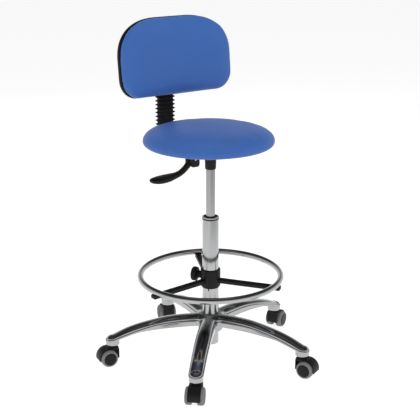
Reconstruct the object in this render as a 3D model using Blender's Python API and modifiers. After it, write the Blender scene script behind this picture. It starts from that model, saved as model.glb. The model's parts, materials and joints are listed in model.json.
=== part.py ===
"""A draughtsman's stool on casters: round seat, low back, foot ring and gas spring.

Metres, +Z up, floor at z = 0. The sitter faces -Y and the release lever is on the -X side.
Everything hangs from an empty on the column's axis, which stands a little off the origin so that
the whole stool is centred over it.
"""

import math

import bmesh
import bpy
from mathutils import Matrix, Vector

# ---- fits ------------------------------------------------------------------------------------
GAP = 0.0003                 # between two pieces that are fixed face to face
SLIDE = 0.0003               # round a shaft, sleeve or bar that slides or turns
REACH = 0.004                # how far a cutter runs past the face that it opens
STEPS = 32                   # facets of a turned piece
CHAMFER = 0.001              # small broken edge

# ---- where the column stands -----------------------------------------------------------------
COLUMN_X = -0.011
COLUMN_Y = -0.019

# ---- casters ---------------------------------------------------------------------------------
CASTER_HEADINGS = (-42.3, 23.5, 115.5, 163.0, -98.5)   # way each caster trails
TRAIL = 0.0185
WHEEL_RADIUS = 0.0265
WHEEL_WIDTH = 0.019
WHEEL_DOME = 0.006           # tread's edge to the wheel's outer face
WHEEL_CHAMFER = 0.001
WHEEL_STEPS = 24
HUBCAP_RADIUS = 0.0196
HUBCAP_DEPTH = 0.0008
AXLE_RADIUS = 0.004
AXLE_END = 0.005             # wheel material left beyond the axle's end
STEM_RADIUS = 0.0055
STEM_DEPTH = 0.017           # stem inside its boss
STEM_TAIL = 0.014            # stem below its collar
COLLAR_RADIUS = 0.011
COLLAR_HEIGHT = 0.003
WEB_WIDTH = 0.017
WEB_CLEARANCE = 0.0006       # wheel to web
WEB_EYE = 0.0095             # web's radius round the axle
WEB_SETBACK = 0.002          # web's lower edge from the wall's
WEB_MARGIN = 3               # degrees by which the web stops short of the hood's end
HOOD_WIDTH = 0.038
HOOD_WALL = 0.0025
HOOD_CLEARANCE = 0.0017      # wheel to hood
HOOD_ROOM = 0.0018           # more room at the hood's upright wall
HOOD_BACK = WHEEL_RADIUS - TRAIL + HOOD_CLEARANCE + HOOD_ROOM + HOOD_WALL   # stem to that wall
HOOD_DROP = 0.0045           # axle's height to the foot of that wall
HOOD_SWEEP = 12              # degrees that the hood reaches below the axle on the trailing side
NECK_RADIUS = 0.012
NECK_HEIGHT = 0.0048         # neck above the hood
HOOD_TOP = 2 * WHEEL_RADIUS + HOOD_CLEARANCE + HOOD_WALL
NECK_TOP = HOOD_TOP + NECK_HEIGHT

# ---- base star -------------------------------------------------------------------------------
LEGS = 5
FIRST_LEG = -42.3            # heading of leg 1 in degrees, counted from -Y towards +X
STEM_CIRCLE = 0.307          # radius of the circle of caster stems
BOSS_BOTTOM = NECK_TOP + GAP + COLLAR_HEIGHT + GAP
HUB_RADIUS = 0.046
HUB_TOP = BOSS_BOTTOM + 0.0819
HUB_BOTTOM = BOSS_BOTTOM + 0.0279
HUB_CHAMFER = 0.004
LEG_ROOT = 0.033             # radius at which a leg starts, inside the hub's wall
LEG_HALF_WIDTH = 0.025
LEG_TIP_HALF_WIDTH = 0.0222
LEG_WALL = 0.006
LEDGE = 0.003
BOSS_RADIUS = 0.021
BOSS_HEIGHT = 0.0164
TIP_RISE = 0.004             # the leg's end drops by this past its stem

# Height of a leg's ridge, crease and underside over the boss's foot, against the distance along
# it, 0 at the hub and 1 at the stem.
LEG_PROFILE = (
    (0.00, 0.0799, 0.0674, 0.0489),
    (0.22, 0.0799, 0.0674, 0.0489),
    (0.38, 0.0769, 0.0659, 0.0477),
    (0.55, 0.0684, 0.0589, 0.0444),
    (0.72, 0.0584, 0.0469, 0.0384),
    (0.86, 0.0459, 0.0339, 0.0264),
    (1.00, 0.0279, 0.0199, 0.0129),
)

# ---- column and gas spring -------------------------------------------------------------------
COLUMN_RADIUS = 0.025
COLUMN_WALL = 0.0015
COLUMN_BOTTOM = HUB_BOTTOM - 0.045
COLUMN_TOP = HUB_TOP + 0.3045
FOOT_PLATE = 0.003
BUSH_LENGTH = 0.0735
FLANGE_RADIUS = COLUMN_RADIUS + 0.001
FLANGE_HEIGHT = 0.0047
CAP_HEIGHT = 0.0042
CAP_WALL = 0.0045
CAP_CHAMFER = 0.0015
BEARING_HEIGHT = 0.0103
BEARING_RADIUS = 0.0135
ROD_RADIUS = 0.005
ROD_END_RADIUS = 0.0042
ROD_COLLAR_RADIUS = 0.009
ROD_COLLAR_HEIGHT = 0.0045
ROD_TOP = COLUMN_TOP - 0.1075
PISTON_HEIGHT = 0.012
CLIP_RADIUS = 0.009
CLIP_HEIGHT = 0.0032
ROD_TAIL = 0.003             # rod end below its clip
TUBE_RADIUS = 0.014
TUBE_WALL = 0.0012
TUBE_END = 0.013             # solid ends of the pressure tube
PIN_RADIUS = 0.0022
PIN_HEAD_RADIUS = 0.003
PIN_HEAD_HEIGHT = 0.004
PIN_TRAVEL = 0.0045
PIN_INSIDE = 0.009

# ---- foot ring -------------------------------------------------------------------------------
RING_RADIUS = 0.2155         # centreline
RING_TUBE = 0.0095
RING_HEIGHT = HUB_TOP + 0.125
RING_STEPS = 60
SPOKES = 3
FIRST_SPOKE = -84.0
SPOKE_WIDTH = 0.021
SPOKE_HEIGHT = 0.012
SPOKE_END = 0.229
RIB_WIDTH = 0.007
RIB_HEIGHT = 0.003
RIB_ROOT = 0.003              # rib sunk in its spoke
SPOKE_BEVEL = 0.0015
RIB_STOP = 0.190
SLEEVE_TOP = RING_HEIGHT + 0.02
SLEEVE_BOTTOM = RING_HEIGHT - 0.037
SLEEVE_WALL = 0.0037
SLEEVE_CHAMFER = 0.005
LINER_WALL = 0.0012
LINER_LIP = 0.0015           # liner past each end of the sleeve
TAB_HEADING = -48.0
TAB_WIDTH = 0.003
TAB_DROP = 0.007
KNOB_HEADING = -144.5
KNOB_HEIGHT = RING_HEIGHT - 0.003
KNOB_RADIUS = 0.0225
KNOB_THICKNESS = 0.018
KNOB_INNER = 0.042           # column axis to the knob's inner face
KNOB_BOSS_RADIUS = 0.011
FLUTES = 10
STUD_RADIUS = 0.004
SCREW_RADIUS = 0.0025
SCREW_HEAD_RADIUS = 0.005
SCREW_HEAD_HEIGHT = 0.003
SCREW_BITE = 0.005           # screw inside the ring's tube

# ---- seat ------------------------------------------------------------------------------------
SEAT_SETBACK = 0.009
SEAT_RADIUS = 0.196
SEAT_BOTTOM = COLUMN_TOP + 0.226
SEAT_THICKNESS = 0.0565
SEAT_FLAT = 0.040             # radius of the seat's level middle
SEAT_STEPS = 40
BOARD_RADIUS = 0.160
BOARD_THICKNESS = 0.0105
PLATE_SIZE = (0.150, 0.180)
PLATE_THICKNESS = 0.003
PLATE_CORNER = 0.018
BOLT_SPACING = (0.110, 0.140)
BOLT_RADIUS = 0.003
BOLT_HEAD_RADIUS = 0.0055
BOLT_HEAD_HEIGHT = 0.004
BOLT_BITE = 0.008
SOCKET_BOTTOM = SEAT_BOTTOM - 0.0685
SOCKET_BOTTOM_RADIUS = 0.0165
SOCKET_TOP_RADIUS = 0.0185
TUBE_TOP = SEAT_BOTTOM - 0.0205
TUBE_BOTTOM = TUBE_TOP - 0.402

# ---- release lever ---------------------------------------------------------------------------
LEVER_X = -0.0645            # pivot
LEVER_Z = SEAT_BOTTOM - 0.0285
BRACKET_SIZE = (0.029, 0.035)
BRACKET_BOTTOM = SEAT_BOTTOM - 0.0505
BRACKET_CORNER = 0.008
BRACKET_WALL = 0.0035
LEVER_WIDTH = 0.020
LEVER_SIDE_CLEARANCE = 0.0004
LEVER_HUB_RADIUS = 0.0095
ARM_EXIT = SEAT_BOTTOM - 0.0205             # underside of the bracket's outer wall
PIVOT_RADIUS = 0.003
FINGER_WIDTH = 0.009
FINGER_THICKNESS = 0.004
FINGER_GAP = 0.0005
FINGER_PAST = 0.004          # finger beyond the valve pin's axis
ARM_RADIUS = 0.009
ARM_PATH = ((0.0, 0.0), (-0.028, -0.0282), (-0.044, -0.037), (-0.0685, -0.042), (-0.095, -0.045))
PADDLE_CENTRE = (-0.1045, -0.046)
PADDLE_SIZE = (0.084, 0.040, 0.023)

# ---- back ------------------------------------------------------------------------------------
BAR_WIDTH = 0.038
BAR_THICKNESS = 0.006
SEAT_TO_BAR = 0.046          # seat's edge to the middle of the upright stretch
BAR_Y = SEAT_SETBACK + SEAT_RADIUS + SEAT_TO_BAR
BAR_Z = SEAT_BOTTOM - 0.0175                # middle of the level stretch
BAR_BEND = 0.020
BAR_END_Y = 0.055
BAR_TOP = BAR_Z + 0.313
GUIDE_SIZE = (0.052, 0.070)
GUIDE_Y = 0.095
GUIDE_BOTTOM = SEAT_BOTTOM - 0.0295
BACK_KNOB_RADIUS = 0.020
BACK_KNOB_THICKNESS = 0.016
KNOB_STANDOFF = 0.007
BELLOWS_BOTTOM = BAR_Z + 0.023
BELLOWS_FOLDS = 12
BELLOWS_CREST = (0.058, 0.031)
BELLOWS_VALLEY = (0.046, 0.019)
CARRIAGE_BOTTOM = BAR_Z + 0.171
CARRIAGE_HEIGHT = 0.112
CARRIAGE_SIZE = (0.060, 0.025)
CARRIAGE_KNOB_Z = CARRIAGE_BOTTOM + 0.067
PAD_SIZE = (0.052, 0.080)
BACK_AHEAD = 0.0575          # middle of the backrest ahead of the upright stretch
BACK_Y = BAR_Y - BACK_AHEAD
BACK_Z = BAR_Z + 0.263       # middle of the backrest
BACK_TILT = 6.3
BACK_WIDTH = 0.388
BACK_HEIGHT = 0.231
BACK_THICKNESS = 0.053
SHELL_THICKNESS = 0.014
BACK_CURVE = 1.09            # radius that the backrest is bent to
TOP_CORNER = (0.142, 0.116)
BOTTOM_CORNER = 0.056
CUSHION_BEVEL = 0.008

ACROSS_X = (math.pi / 2, 0, 0)

parts = None
cutters = None
materials = {}


# ---- tools -----------------------------------------------------------------------------------
def clear_scene():
    for obj in list(bpy.data.objects):
        bpy.data.objects.remove(obj, do_unlink=True)


def new_collection(name, hidden=False):
    collection = bpy.data.collections.new(name)
    collection.hide_render = hidden
    bpy.context.scene.collection.children.link(collection)
    return collection


def add_material(name, colour, roughness, metallic=0.0):
    material = bpy.data.materials.new(name)
    material.use_nodes = True
    shader = material.node_tree.nodes["Principled BSDF"]
    shader.inputs["Base Color"].default_value = (*colour, 1)
    shader.inputs["Roughness"].default_value = roughness
    shader.inputs["Metallic"].default_value = metallic
    material.diffuse_color = (*colour, 1)
    materials[name] = material


def empty(name, parent=None, location=(0, 0, 0), heading=0.0):
    obj = bpy.data.objects.new(name, None)
    obj.empty_display_size = 0.02
    obj.parent = parent
    obj.location = location
    obj.rotation_euler = (0, 0, math.radians(heading))
    parts.objects.link(obj)
    return obj


def finish(obj, slot, parent, location=(0, 0, 0), rotation=(0, 0, 0)):
    """Puts an object in its place; with no material slot it is a cutter or a piece of a join."""
    obj.parent = parent
    obj.location = location
    obj.rotation_euler = rotation
    if slot:
        obj.data.materials.append(materials[slot])
        parts.objects.link(obj)
    else:
        obj.hide_render = True
        obj.display_type = "WIRE"
        cutters.objects.link(obj)
    return obj


def mesh_object(name, build):
    """A mesh object whose shape the function build puts in a bmesh."""
    mesh = bpy.data.meshes.new(name)
    shape = bmesh.new()
    build(shape)
    bmesh.ops.recalc_face_normals(shape, faces=shape.faces)
    shape.to_mesh(mesh)
    shape.free()
    if mesh.polygons:
        mesh.shade_smooth()
        mesh.set_sharp_from_angle(angle=math.radians(35))
    return bpy.data.objects.new(name, mesh)


def turned(name, slot, parent, profile, ring=False, steps=STEPS, **place):
    """A profile of (radius, height) points turned about Z; it runs down its outer side."""
    mesh = bpy.data.meshes.new(name)
    edges = [(i, i + 1) for i in range(len(profile) - 1)]
    if ring:
        edges.append((len(profile) - 1, 0))
    mesh.from_pydata([(radius, 0, height) for radius, height in profile], edges, [])
    obj = bpy.data.objects.new(name, mesh)
    screw = obj.modifiers.new("Screw", "SCREW")
    screw.steps = steps
    screw.render_steps = steps
    screw.use_merge_vertices = True
    screw.merge_threshold = 0.00001
    screw.use_smooth_shade = False
    return finish(obj, slot, parent, **place)


def box(name, slot, parent, low, high, bevel=0.0, **place):
    """A box between two opposite corners, with its edges rounded by the bevel."""
    size = [b - a for a, b in zip(low, high)]
    centre = [(a + b) / 2 for a, b in zip(low, high)]

    def build(shape):
        matrix = Matrix.Translation(centre) @ Matrix.Diagonal((*size, 1))
        bmesh.ops.create_cube(shape, size=1, matrix=matrix)

    obj = mesh_object(name, build)
    if bevel:
        add_bevel(obj, bevel)
    return finish(obj, slot, parent, **place)


def cylinder(name, slot, parent, radius, bottom, top, steps=STEPS, **place):
    def build(shape):
        matrix = Matrix.Translation((0, 0, (bottom + top) / 2))
        bmesh.ops.create_cone(
            shape, cap_ends=True, segments=steps, radius1=radius, radius2=radius,
            depth=top - bottom, matrix=matrix,
        )

    return finish(mesh_object(name, build), slot, parent, **place)


def outline(name, slot, parent, points, depth, **place):
    """A flat closed outline in XY, made solid by half its depth to either side."""
    curve = bpy.data.curves.new(name, "CURVE")
    curve.dimensions = "2D"
    curve.fill_mode = "BOTH"
    curve.extrude = depth / 2
    spline = curve.splines.new("POLY")
    spline.points.add(len(points) - 1)
    for point, (x, y) in zip(spline.points, points):
        point.co = (x, y, 0, 1)
    spline.use_cyclic_u = True
    return finish(as_mesh(name, curve), slot, parent, **place)


def tube(name, slot, parent, points, radius, **place):
    """A round bar along smooth points."""
    curve = bpy.data.curves.new(name, "CURVE")
    curve.dimensions = "3D"
    curve.bevel_depth = radius
    curve.bevel_resolution = 2
    curve.resolution_u = 4
    curve.use_fill_caps = True
    spline = curve.splines.new("BEZIER")
    spline.bezier_points.add(len(points) - 1)
    for point, place_of in zip(spline.bezier_points, points):
        point.co = place_of
        point.handle_left_type = "AUTO"
        point.handle_right_type = "AUTO"
    return finish(as_mesh(name, curve), slot, parent, **place)


def as_mesh(name, curve):
    """The curve's solid as a mesh, with its caps welded on."""
    source = bpy.data.objects.new(name + "_curve", curve)
    bpy.context.scene.collection.objects.link(source)
    bpy.context.view_layer.update()
    evaluated = source.evaluated_get(bpy.context.evaluated_depsgraph_get())
    mesh = bpy.data.meshes.new_from_object(evaluated)
    bpy.data.objects.remove(source, do_unlink=True)
    shape = bmesh.new()
    shape.from_mesh(mesh)
    bmesh.ops.remove_doubles(shape, verts=shape.verts, dist=0.00001)
    bmesh.ops.recalc_face_normals(shape, faces=shape.faces)
    shape.to_mesh(mesh)
    shape.free()
    mesh.name = name
    return bpy.data.objects.new(name, mesh)


def add_bevel(obj, width, segments=2, angle=40):
    bevel = obj.modifiers.new("Bevel", "BEVEL")
    bevel.width = width
    bevel.segments = segments
    bevel.limit_method = "ANGLE"
    bevel.angle_limit = math.radians(angle)


def boolean(obj, other, operation):
    modifier = obj.modifiers.new(operation.title(), "BOOLEAN")
    modifier.operation = operation
    modifier.solver = "EXACT"
    modifier.object = other


def join(obj, *others):
    for other in others:
        boolean(obj, other, "UNION")


def cut(obj, *others):
    for other in others:
        boolean(obj, other, "DIFFERENCE")


def arc(centre, radius, start, end, count):
    """Points of an arc in degrees, both ends included."""
    step = (end - start) / (count - 1)
    angles = [math.radians(start + i * step) for i in range(count)]
    return [(centre[0] + radius * math.cos(a), centre[1] + radius * math.sin(a)) for a in angles]


# ---- base star -------------------------------------------------------------------------------
def leg_section(share, inset):
    """(ridge, crease, underside, half width) of a leg, moved inward by the inset."""
    for near, far in zip(LEG_PROFILE, LEG_PROFILE[1:]):
        if share <= far[0]:
            break
    blend = (share - near[0]) / (far[0] - near[0])
    ridge, crease, under = [BOSS_BOTTOM + a + (b - a) * blend for a, b in zip(near[1:], far[1:])]
    half = LEG_HALF_WIDTH + (LEG_TIP_HALF_WIDTH - LEG_HALF_WIDTH) * share
    return ridge - inset, crease - inset, under, half - inset


def leg_loop(along, ridge, crease, under, half):
    """Corner points of one section: flat underside, upright sides, ledge and domed top."""
    inner = max(half - LEDGE, half * 0.6)
    dome = [
        (-inner * math.cos(a), crease + (ridge - crease) * math.sin(a))
        for a in [math.radians(36 * i) for i in range(6)]
    ]
    brow = crease - LEDGE / 2
    loop = [(-half, under), (-half, brow), *dome, (half, brow), (half, under)]
    return [Vector((across, -along, height)) for across, height in loop]


def loft(shape, loops):
    rows = [[shape.verts.new(point) for point in loop] for loop in loops]
    count = len(rows[0])
    for row, after in zip(rows, rows[1:]):
        for i in range(count):
            shape.faces.new((row[i], row[(i + 1) % count], after[(i + 1) % count], after[i]))
    shape.faces.new(rows[0])
    shape.faces.new(reversed(rows[-1]))


def leg_solid(shape):
    """A leg from the hub to its round end past the stem."""
    span = STEM_CIRCLE - LEG_ROOT
    loops = []
    for share, *_ in LEG_PROFILE:
        loops.append(leg_loop(LEG_ROOT + span * share, *leg_section(share, 0)))
    ridge, crease, under, half = leg_section(1.0, 0)
    for angle in (30, 55, 75):
        turn = math.radians(angle)
        drop = TIP_RISE * math.sin(turn)
        loops.append(
            leg_loop(
                STEM_CIRCLE + half * math.sin(turn), ridge - drop, crease - drop / 2, under,
                half * math.cos(turn),
            )
        )
    loft(shape, loops)


def leg_pocket(shape):
    """The hollow under a leg, open below, up to the caster's boss."""
    span = STEM_CIRCLE - LEG_ROOT
    loops = []
    for share in (0.09, 0.22, 0.38, 0.55, 0.72, 0.86):
        ridge, crease, under, half = leg_section(share, LEG_WALL)
        loops.append(leg_loop(LEG_ROOT + span * share, ridge, crease, under - REACH, half))
    loft(shape, loops)


def build_base(root):
    bore = COLUMN_RADIUS + GAP
    star = turned(
        "base_star", "polished_aluminium", root,
        [
            (HUB_RADIUS - HUB_CHAMFER, HUB_TOP),
            (HUB_RADIUS, HUB_TOP - HUB_CHAMFER),
            (HUB_RADIUS, HUB_BOTTOM),
            (bore, HUB_BOTTOM),
            (bore, HUB_TOP),
        ],
        ring=True,
    )
    for index in range(LEGS):
        leg = empty(f"leg_{index + 1}", root, heading=FIRST_LEG + index * 360 / LEGS)
        solid = finish(mesh_object(f"leg_{index + 1}_solid", leg_solid), None, leg)
        join(
            solid,
            cylinder(
                f"leg_{index + 1}_boss", None, leg, BOSS_RADIUS, BOSS_BOTTOM, BOSS_BOTTOM + BOSS_HEIGHT,
                steps=20, location=(0, -STEM_CIRCLE, 0),
            ),
        )
        cut(
            solid,
            finish(mesh_object(f"leg_{index + 1}_pocket", leg_pocket), None, leg),
            cylinder(
                f"leg_{index + 1}_stem_hole", None, leg, STEM_RADIUS + GAP, BOSS_BOTTOM - REACH,
                BOSS_BOTTOM + STEM_DEPTH + GAP, steps=16, location=(0, -STEM_CIRCLE, 0),
            ),
        )
        join(star, solid)
        build_caster(index + 1, root, leg)
    return star


# ---- casters ---------------------------------------------------------------------------------
def hood_outline():
    """Side view of the hood's shell: x is the trail direction from the stem, y is height."""
    inner = WHEEL_RADIUS + HOOD_CLEARANCE
    outer = inner + HOOD_WALL
    centre = (TRAIL, WHEEL_RADIUS)
    back = -HOOD_BACK
    foot = WHEEL_RADIUS - HOOD_DROP
    corner = HOOD_WALL * 2
    outside = arc(centre, outer, -HOOD_SWEEP, 90, 10)
    outside += arc((back + corner, WHEEL_RADIUS + outer - corner), corner, 90, 180, 3)
    outside += [(back, foot), (back + HOOD_WALL, foot)]
    inside = [(back + HOOD_WALL, WHEEL_RADIUS + inner - HOOD_WALL)]
    inside += [(back + HOOD_WALL * 2, WHEEL_RADIUS + inner)]
    inside += arc(centre, inner, 90, -HOOD_SWEEP, 10)
    return outside + inside


def web_outline():
    """Side view of the plate between the wheels; its upper edge lies inside the shell."""
    radius = WHEEL_RADIUS + HOOD_CLEARANCE + HOOD_WALL / 2
    centre = (TRAIL, WHEEL_RADIUS)
    back = -HOOD_BACK + HOOD_WALL / 2
    points = arc(centre, radius, -HOOD_SWEEP + WEB_MARGIN, 90, 9)
    points += [(back, WHEEL_RADIUS + radius), (back, WHEEL_RADIUS - HOOD_DROP + WEB_SETBACK)]
    return points + arc(centre, WEB_EYE, 220, 320, 6)


def build_caster(number, root, leg):
    name = f"caster_{number}"
    heading = math.radians(FIRST_LEG + (number - 1) * 360 / LEGS)
    stem_place = (STEM_CIRCLE * math.sin(heading), -STEM_CIRCLE * math.cos(heading), 0)
    turned(
        name + "_stem", "zinc_steel", leg,
        [
            (0, BOSS_BOTTOM + STEM_DEPTH),
            (STEM_RADIUS, BOSS_BOTTOM + STEM_DEPTH),
            (STEM_RADIUS, BOSS_BOTTOM - GAP),
            (COLLAR_RADIUS, BOSS_BOTTOM - GAP),
            (COLLAR_RADIUS, BOSS_BOTTOM - GAP - COLLAR_HEIGHT),
            (STEM_RADIUS, BOSS_BOTTOM - GAP - COLLAR_HEIGHT),
            (STEM_RADIUS, stem_bottom()),
            (0, stem_bottom()),
        ],
        steps=16, location=(0, -STEM_CIRCLE, 0),
    )
    # In the swivel's own frame the caster trails towards +X and its axle lies along Y.
    swivel = empty(name + "_swivel", root, stem_place, heading=CASTER_HEADINGS[number - 1] - 90)
    hood = outline(name + "_hood", "black_plastic", swivel, hood_outline(), HOOD_WIDTH, rotation=ACROSS_X)
    web = outline(name + "_web", None, swivel, web_outline(), WEB_WIDTH, rotation=ACROSS_X)
    neck = cylinder(
        name + "_neck", None, swivel, NECK_RADIUS, HOOD_TOP - HOOD_WALL / 2, NECK_TOP, steps=16
    )
    join(hood, web, neck)
    cut(
        hood,
        cylinder(
            name + "_neck_hole", None, swivel, STEM_RADIUS + SLIDE, stem_bottom() - GAP,
            NECK_TOP + REACH, steps=16,
        ),
        cylinder(
            name + "_axle_hole", None, swivel, AXLE_RADIUS + GAP, -WEB_WIDTH, WEB_WIDTH, steps=16,
            location=(TRAIL, 0, WHEEL_RADIUS), rotation=ACROSS_X,
        ),
    )
    axle_half = WEB_WIDTH / 2 + WEB_CLEARANCE + WHEEL_WIDTH - AXLE_END - GAP
    cylinder(
        name + "_axle", "zinc_steel", swivel, AXLE_RADIUS, -axle_half, axle_half, steps=16,
        location=(TRAIL, 0, WHEEL_RADIUS), rotation=ACROSS_X,
    )
    for side, turn in (("right", -math.pi / 2), ("left", math.pi / 2)):
        turned(
            f"{name}_wheel_{side}", "grey_tread", swivel, wheel_profile(), steps=WHEEL_STEPS,
            location=(TRAIL, 0, WHEEL_RADIUS), rotation=(turn, 0, 0),
        )


def stem_bottom():
    return BOSS_BOTTOM - GAP - COLLAR_HEIGHT - STEM_TAIL


def wheel_profile():
    """One wheel with its axis up and its outer face on top, from the caster's middle plane."""
    face = WEB_WIDTH / 2 + WEB_CLEARANCE
    outside = face + WHEEL_WIDTH
    bore = AXLE_RADIUS + SLIDE
    return [
        (0, outside - HUBCAP_DEPTH),
        (HUBCAP_RADIUS, outside - HUBCAP_DEPTH),
        (HUBCAP_RADIUS, outside),
        ((HUBCAP_RADIUS + WHEEL_RADIUS) / 2, outside - WHEEL_DOME / 4),
        (WHEEL_RADIUS, outside - WHEEL_DOME),
        (WHEEL_RADIUS, face + WHEEL_CHAMFER),
        (WHEEL_RADIUS - WHEEL_CHAMFER, face),
        (bore, face),
        (bore, outside - AXLE_END),
        (0, outside - AXLE_END),
    ]


# ---- column and gas spring -------------------------------------------------------------------
def foot_plate_top():
    return COLUMN_BOTTOM + FOOT_PLATE


def build_column(root):
    inner = COLUMN_RADIUS - COLUMN_WALL
    hole = ROD_END_RADIUS + SLIDE
    turned(
        "column_tube", "chrome", root,
        [
            (COLUMN_RADIUS, COLUMN_TOP),
            (COLUMN_RADIUS, COLUMN_BOTTOM),
            (hole, COLUMN_BOTTOM),
            (hole, foot_plate_top()),
            (inner, foot_plate_top()),
            (inner, COLUMN_TOP),
        ],
        ring=True,
    )
    bush_outer = inner - GAP
    bush_inner = TUBE_RADIUS + SLIDE
    flange_bottom = COLUMN_TOP + GAP
    flange_top = flange_bottom + FLANGE_HEIGHT
    cap_inner = FLANGE_RADIUS - CAP_WALL
    collar_top = flange_top + CAP_HEIGHT / 2
    turned(
        "column_guide_bush", "black_plastic", root,
        [
            (cap_inner - GAP, collar_top),
            (cap_inner - GAP, flange_top),
            (FLANGE_RADIUS, flange_top),
            (FLANGE_RADIUS, flange_bottom),
            (bush_outer, flange_bottom),
            (bush_outer, flange_bottom - BUSH_LENGTH),
            (bush_inner, flange_bottom - BUSH_LENGTH),
            (bush_inner, collar_top),
        ],
        ring=True,
    )
    cap_bottom = flange_top + GAP
    turned(
        "column_cap", "chrome", root,
        [
            (FLANGE_RADIUS - CAP_CHAMFER, cap_bottom + CAP_HEIGHT),
            (FLANGE_RADIUS, cap_bottom + CAP_HEIGHT - CAP_CHAMFER),
            (FLANGE_RADIUS, cap_bottom),
            (cap_inner, cap_bottom),
            (cap_inner, cap_bottom + CAP_HEIGHT),
        ],
        ring=True,
    )
    turned(
        "thrust_bearing", "zinc_steel", root,
        [
            (BEARING_RADIUS, bearing_top()),
            (BEARING_RADIUS, foot_plate_top() + GAP),
            (ROD_END_RADIUS + SLIDE * 2, foot_plate_top() + GAP),
            (ROD_END_RADIUS + SLIDE * 2, bearing_top()),
        ],
        ring=True,
    )


def bearing_top():
    return foot_plate_top() + GAP + BEARING_HEIGHT


def build_rod(turn):
    collar_bottom = bearing_top() + SLIDE
    clip_top = COLUMN_BOTTOM - SLIDE
    rod_bottom = clip_top - CLIP_HEIGHT - ROD_TAIL
    piston = TUBE_RADIUS - TUBE_WALL - SLIDE
    turned(
        "piston_rod", "bright_steel", turn,
        [
            (0, ROD_TOP),
            (piston, ROD_TOP),
            (piston, ROD_TOP - PISTON_HEIGHT),
            (ROD_RADIUS, ROD_TOP - PISTON_HEIGHT),
            (ROD_RADIUS, collar_bottom + ROD_COLLAR_HEIGHT),
            (ROD_COLLAR_RADIUS, collar_bottom + ROD_COLLAR_HEIGHT),
            (ROD_COLLAR_RADIUS, collar_bottom),
            (ROD_END_RADIUS, collar_bottom),
            (ROD_END_RADIUS, rod_bottom),
            (0, rod_bottom),
        ],
    )
    turned(
        "retaining_clip", "zinc_steel", turn,
        [
            (CLIP_RADIUS, clip_top),
            (CLIP_RADIUS, clip_top - CLIP_HEIGHT),
            (ROD_END_RADIUS + GAP, clip_top - CLIP_HEIGHT),
            (ROD_END_RADIUS + GAP, clip_top),
        ],
        ring=True,
    )


def build_gas_tube(seat):
    inner = TUBE_RADIUS - TUBE_WALL
    rod_hole = ROD_RADIUS + SLIDE
    pin_hole = PIN_RADIUS + SLIDE
    turned(
        "gas_spring_tube", "chrome", seat,
        [
            (TUBE_RADIUS, TUBE_TOP),
            (TUBE_RADIUS, TUBE_BOTTOM),
            (rod_hole, TUBE_BOTTOM),
            (rod_hole, TUBE_BOTTOM + TUBE_END),
            (inner, TUBE_BOTTOM + TUBE_END),
            (inner, TUBE_TOP - TUBE_END),
            (pin_hole, TUBE_TOP - TUBE_END),
            (pin_hole, TUBE_TOP),
        ],
        ring=True,
    )
    turned(
        "valve_pin", "bright_steel", seat,
        [
            (0, pin_top()),
            (PIN_HEAD_RADIUS, pin_top()),
            (PIN_HEAD_RADIUS, pin_top() - PIN_HEAD_HEIGHT),
            (PIN_RADIUS, pin_top() - PIN_HEAD_HEIGHT),
            (PIN_RADIUS, TUBE_TOP - PIN_INSIDE),
            (0, TUBE_TOP - PIN_INSIDE),
        ],
        steps=20,
    )


def pin_top():
    return TUBE_TOP + PIN_TRAVEL + GAP * 2 + PIN_HEAD_HEIGHT


# ---- foot ring -------------------------------------------------------------------------------
def spoke_top():
    return RING_HEIGHT - RING_TUBE - GAP


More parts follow.
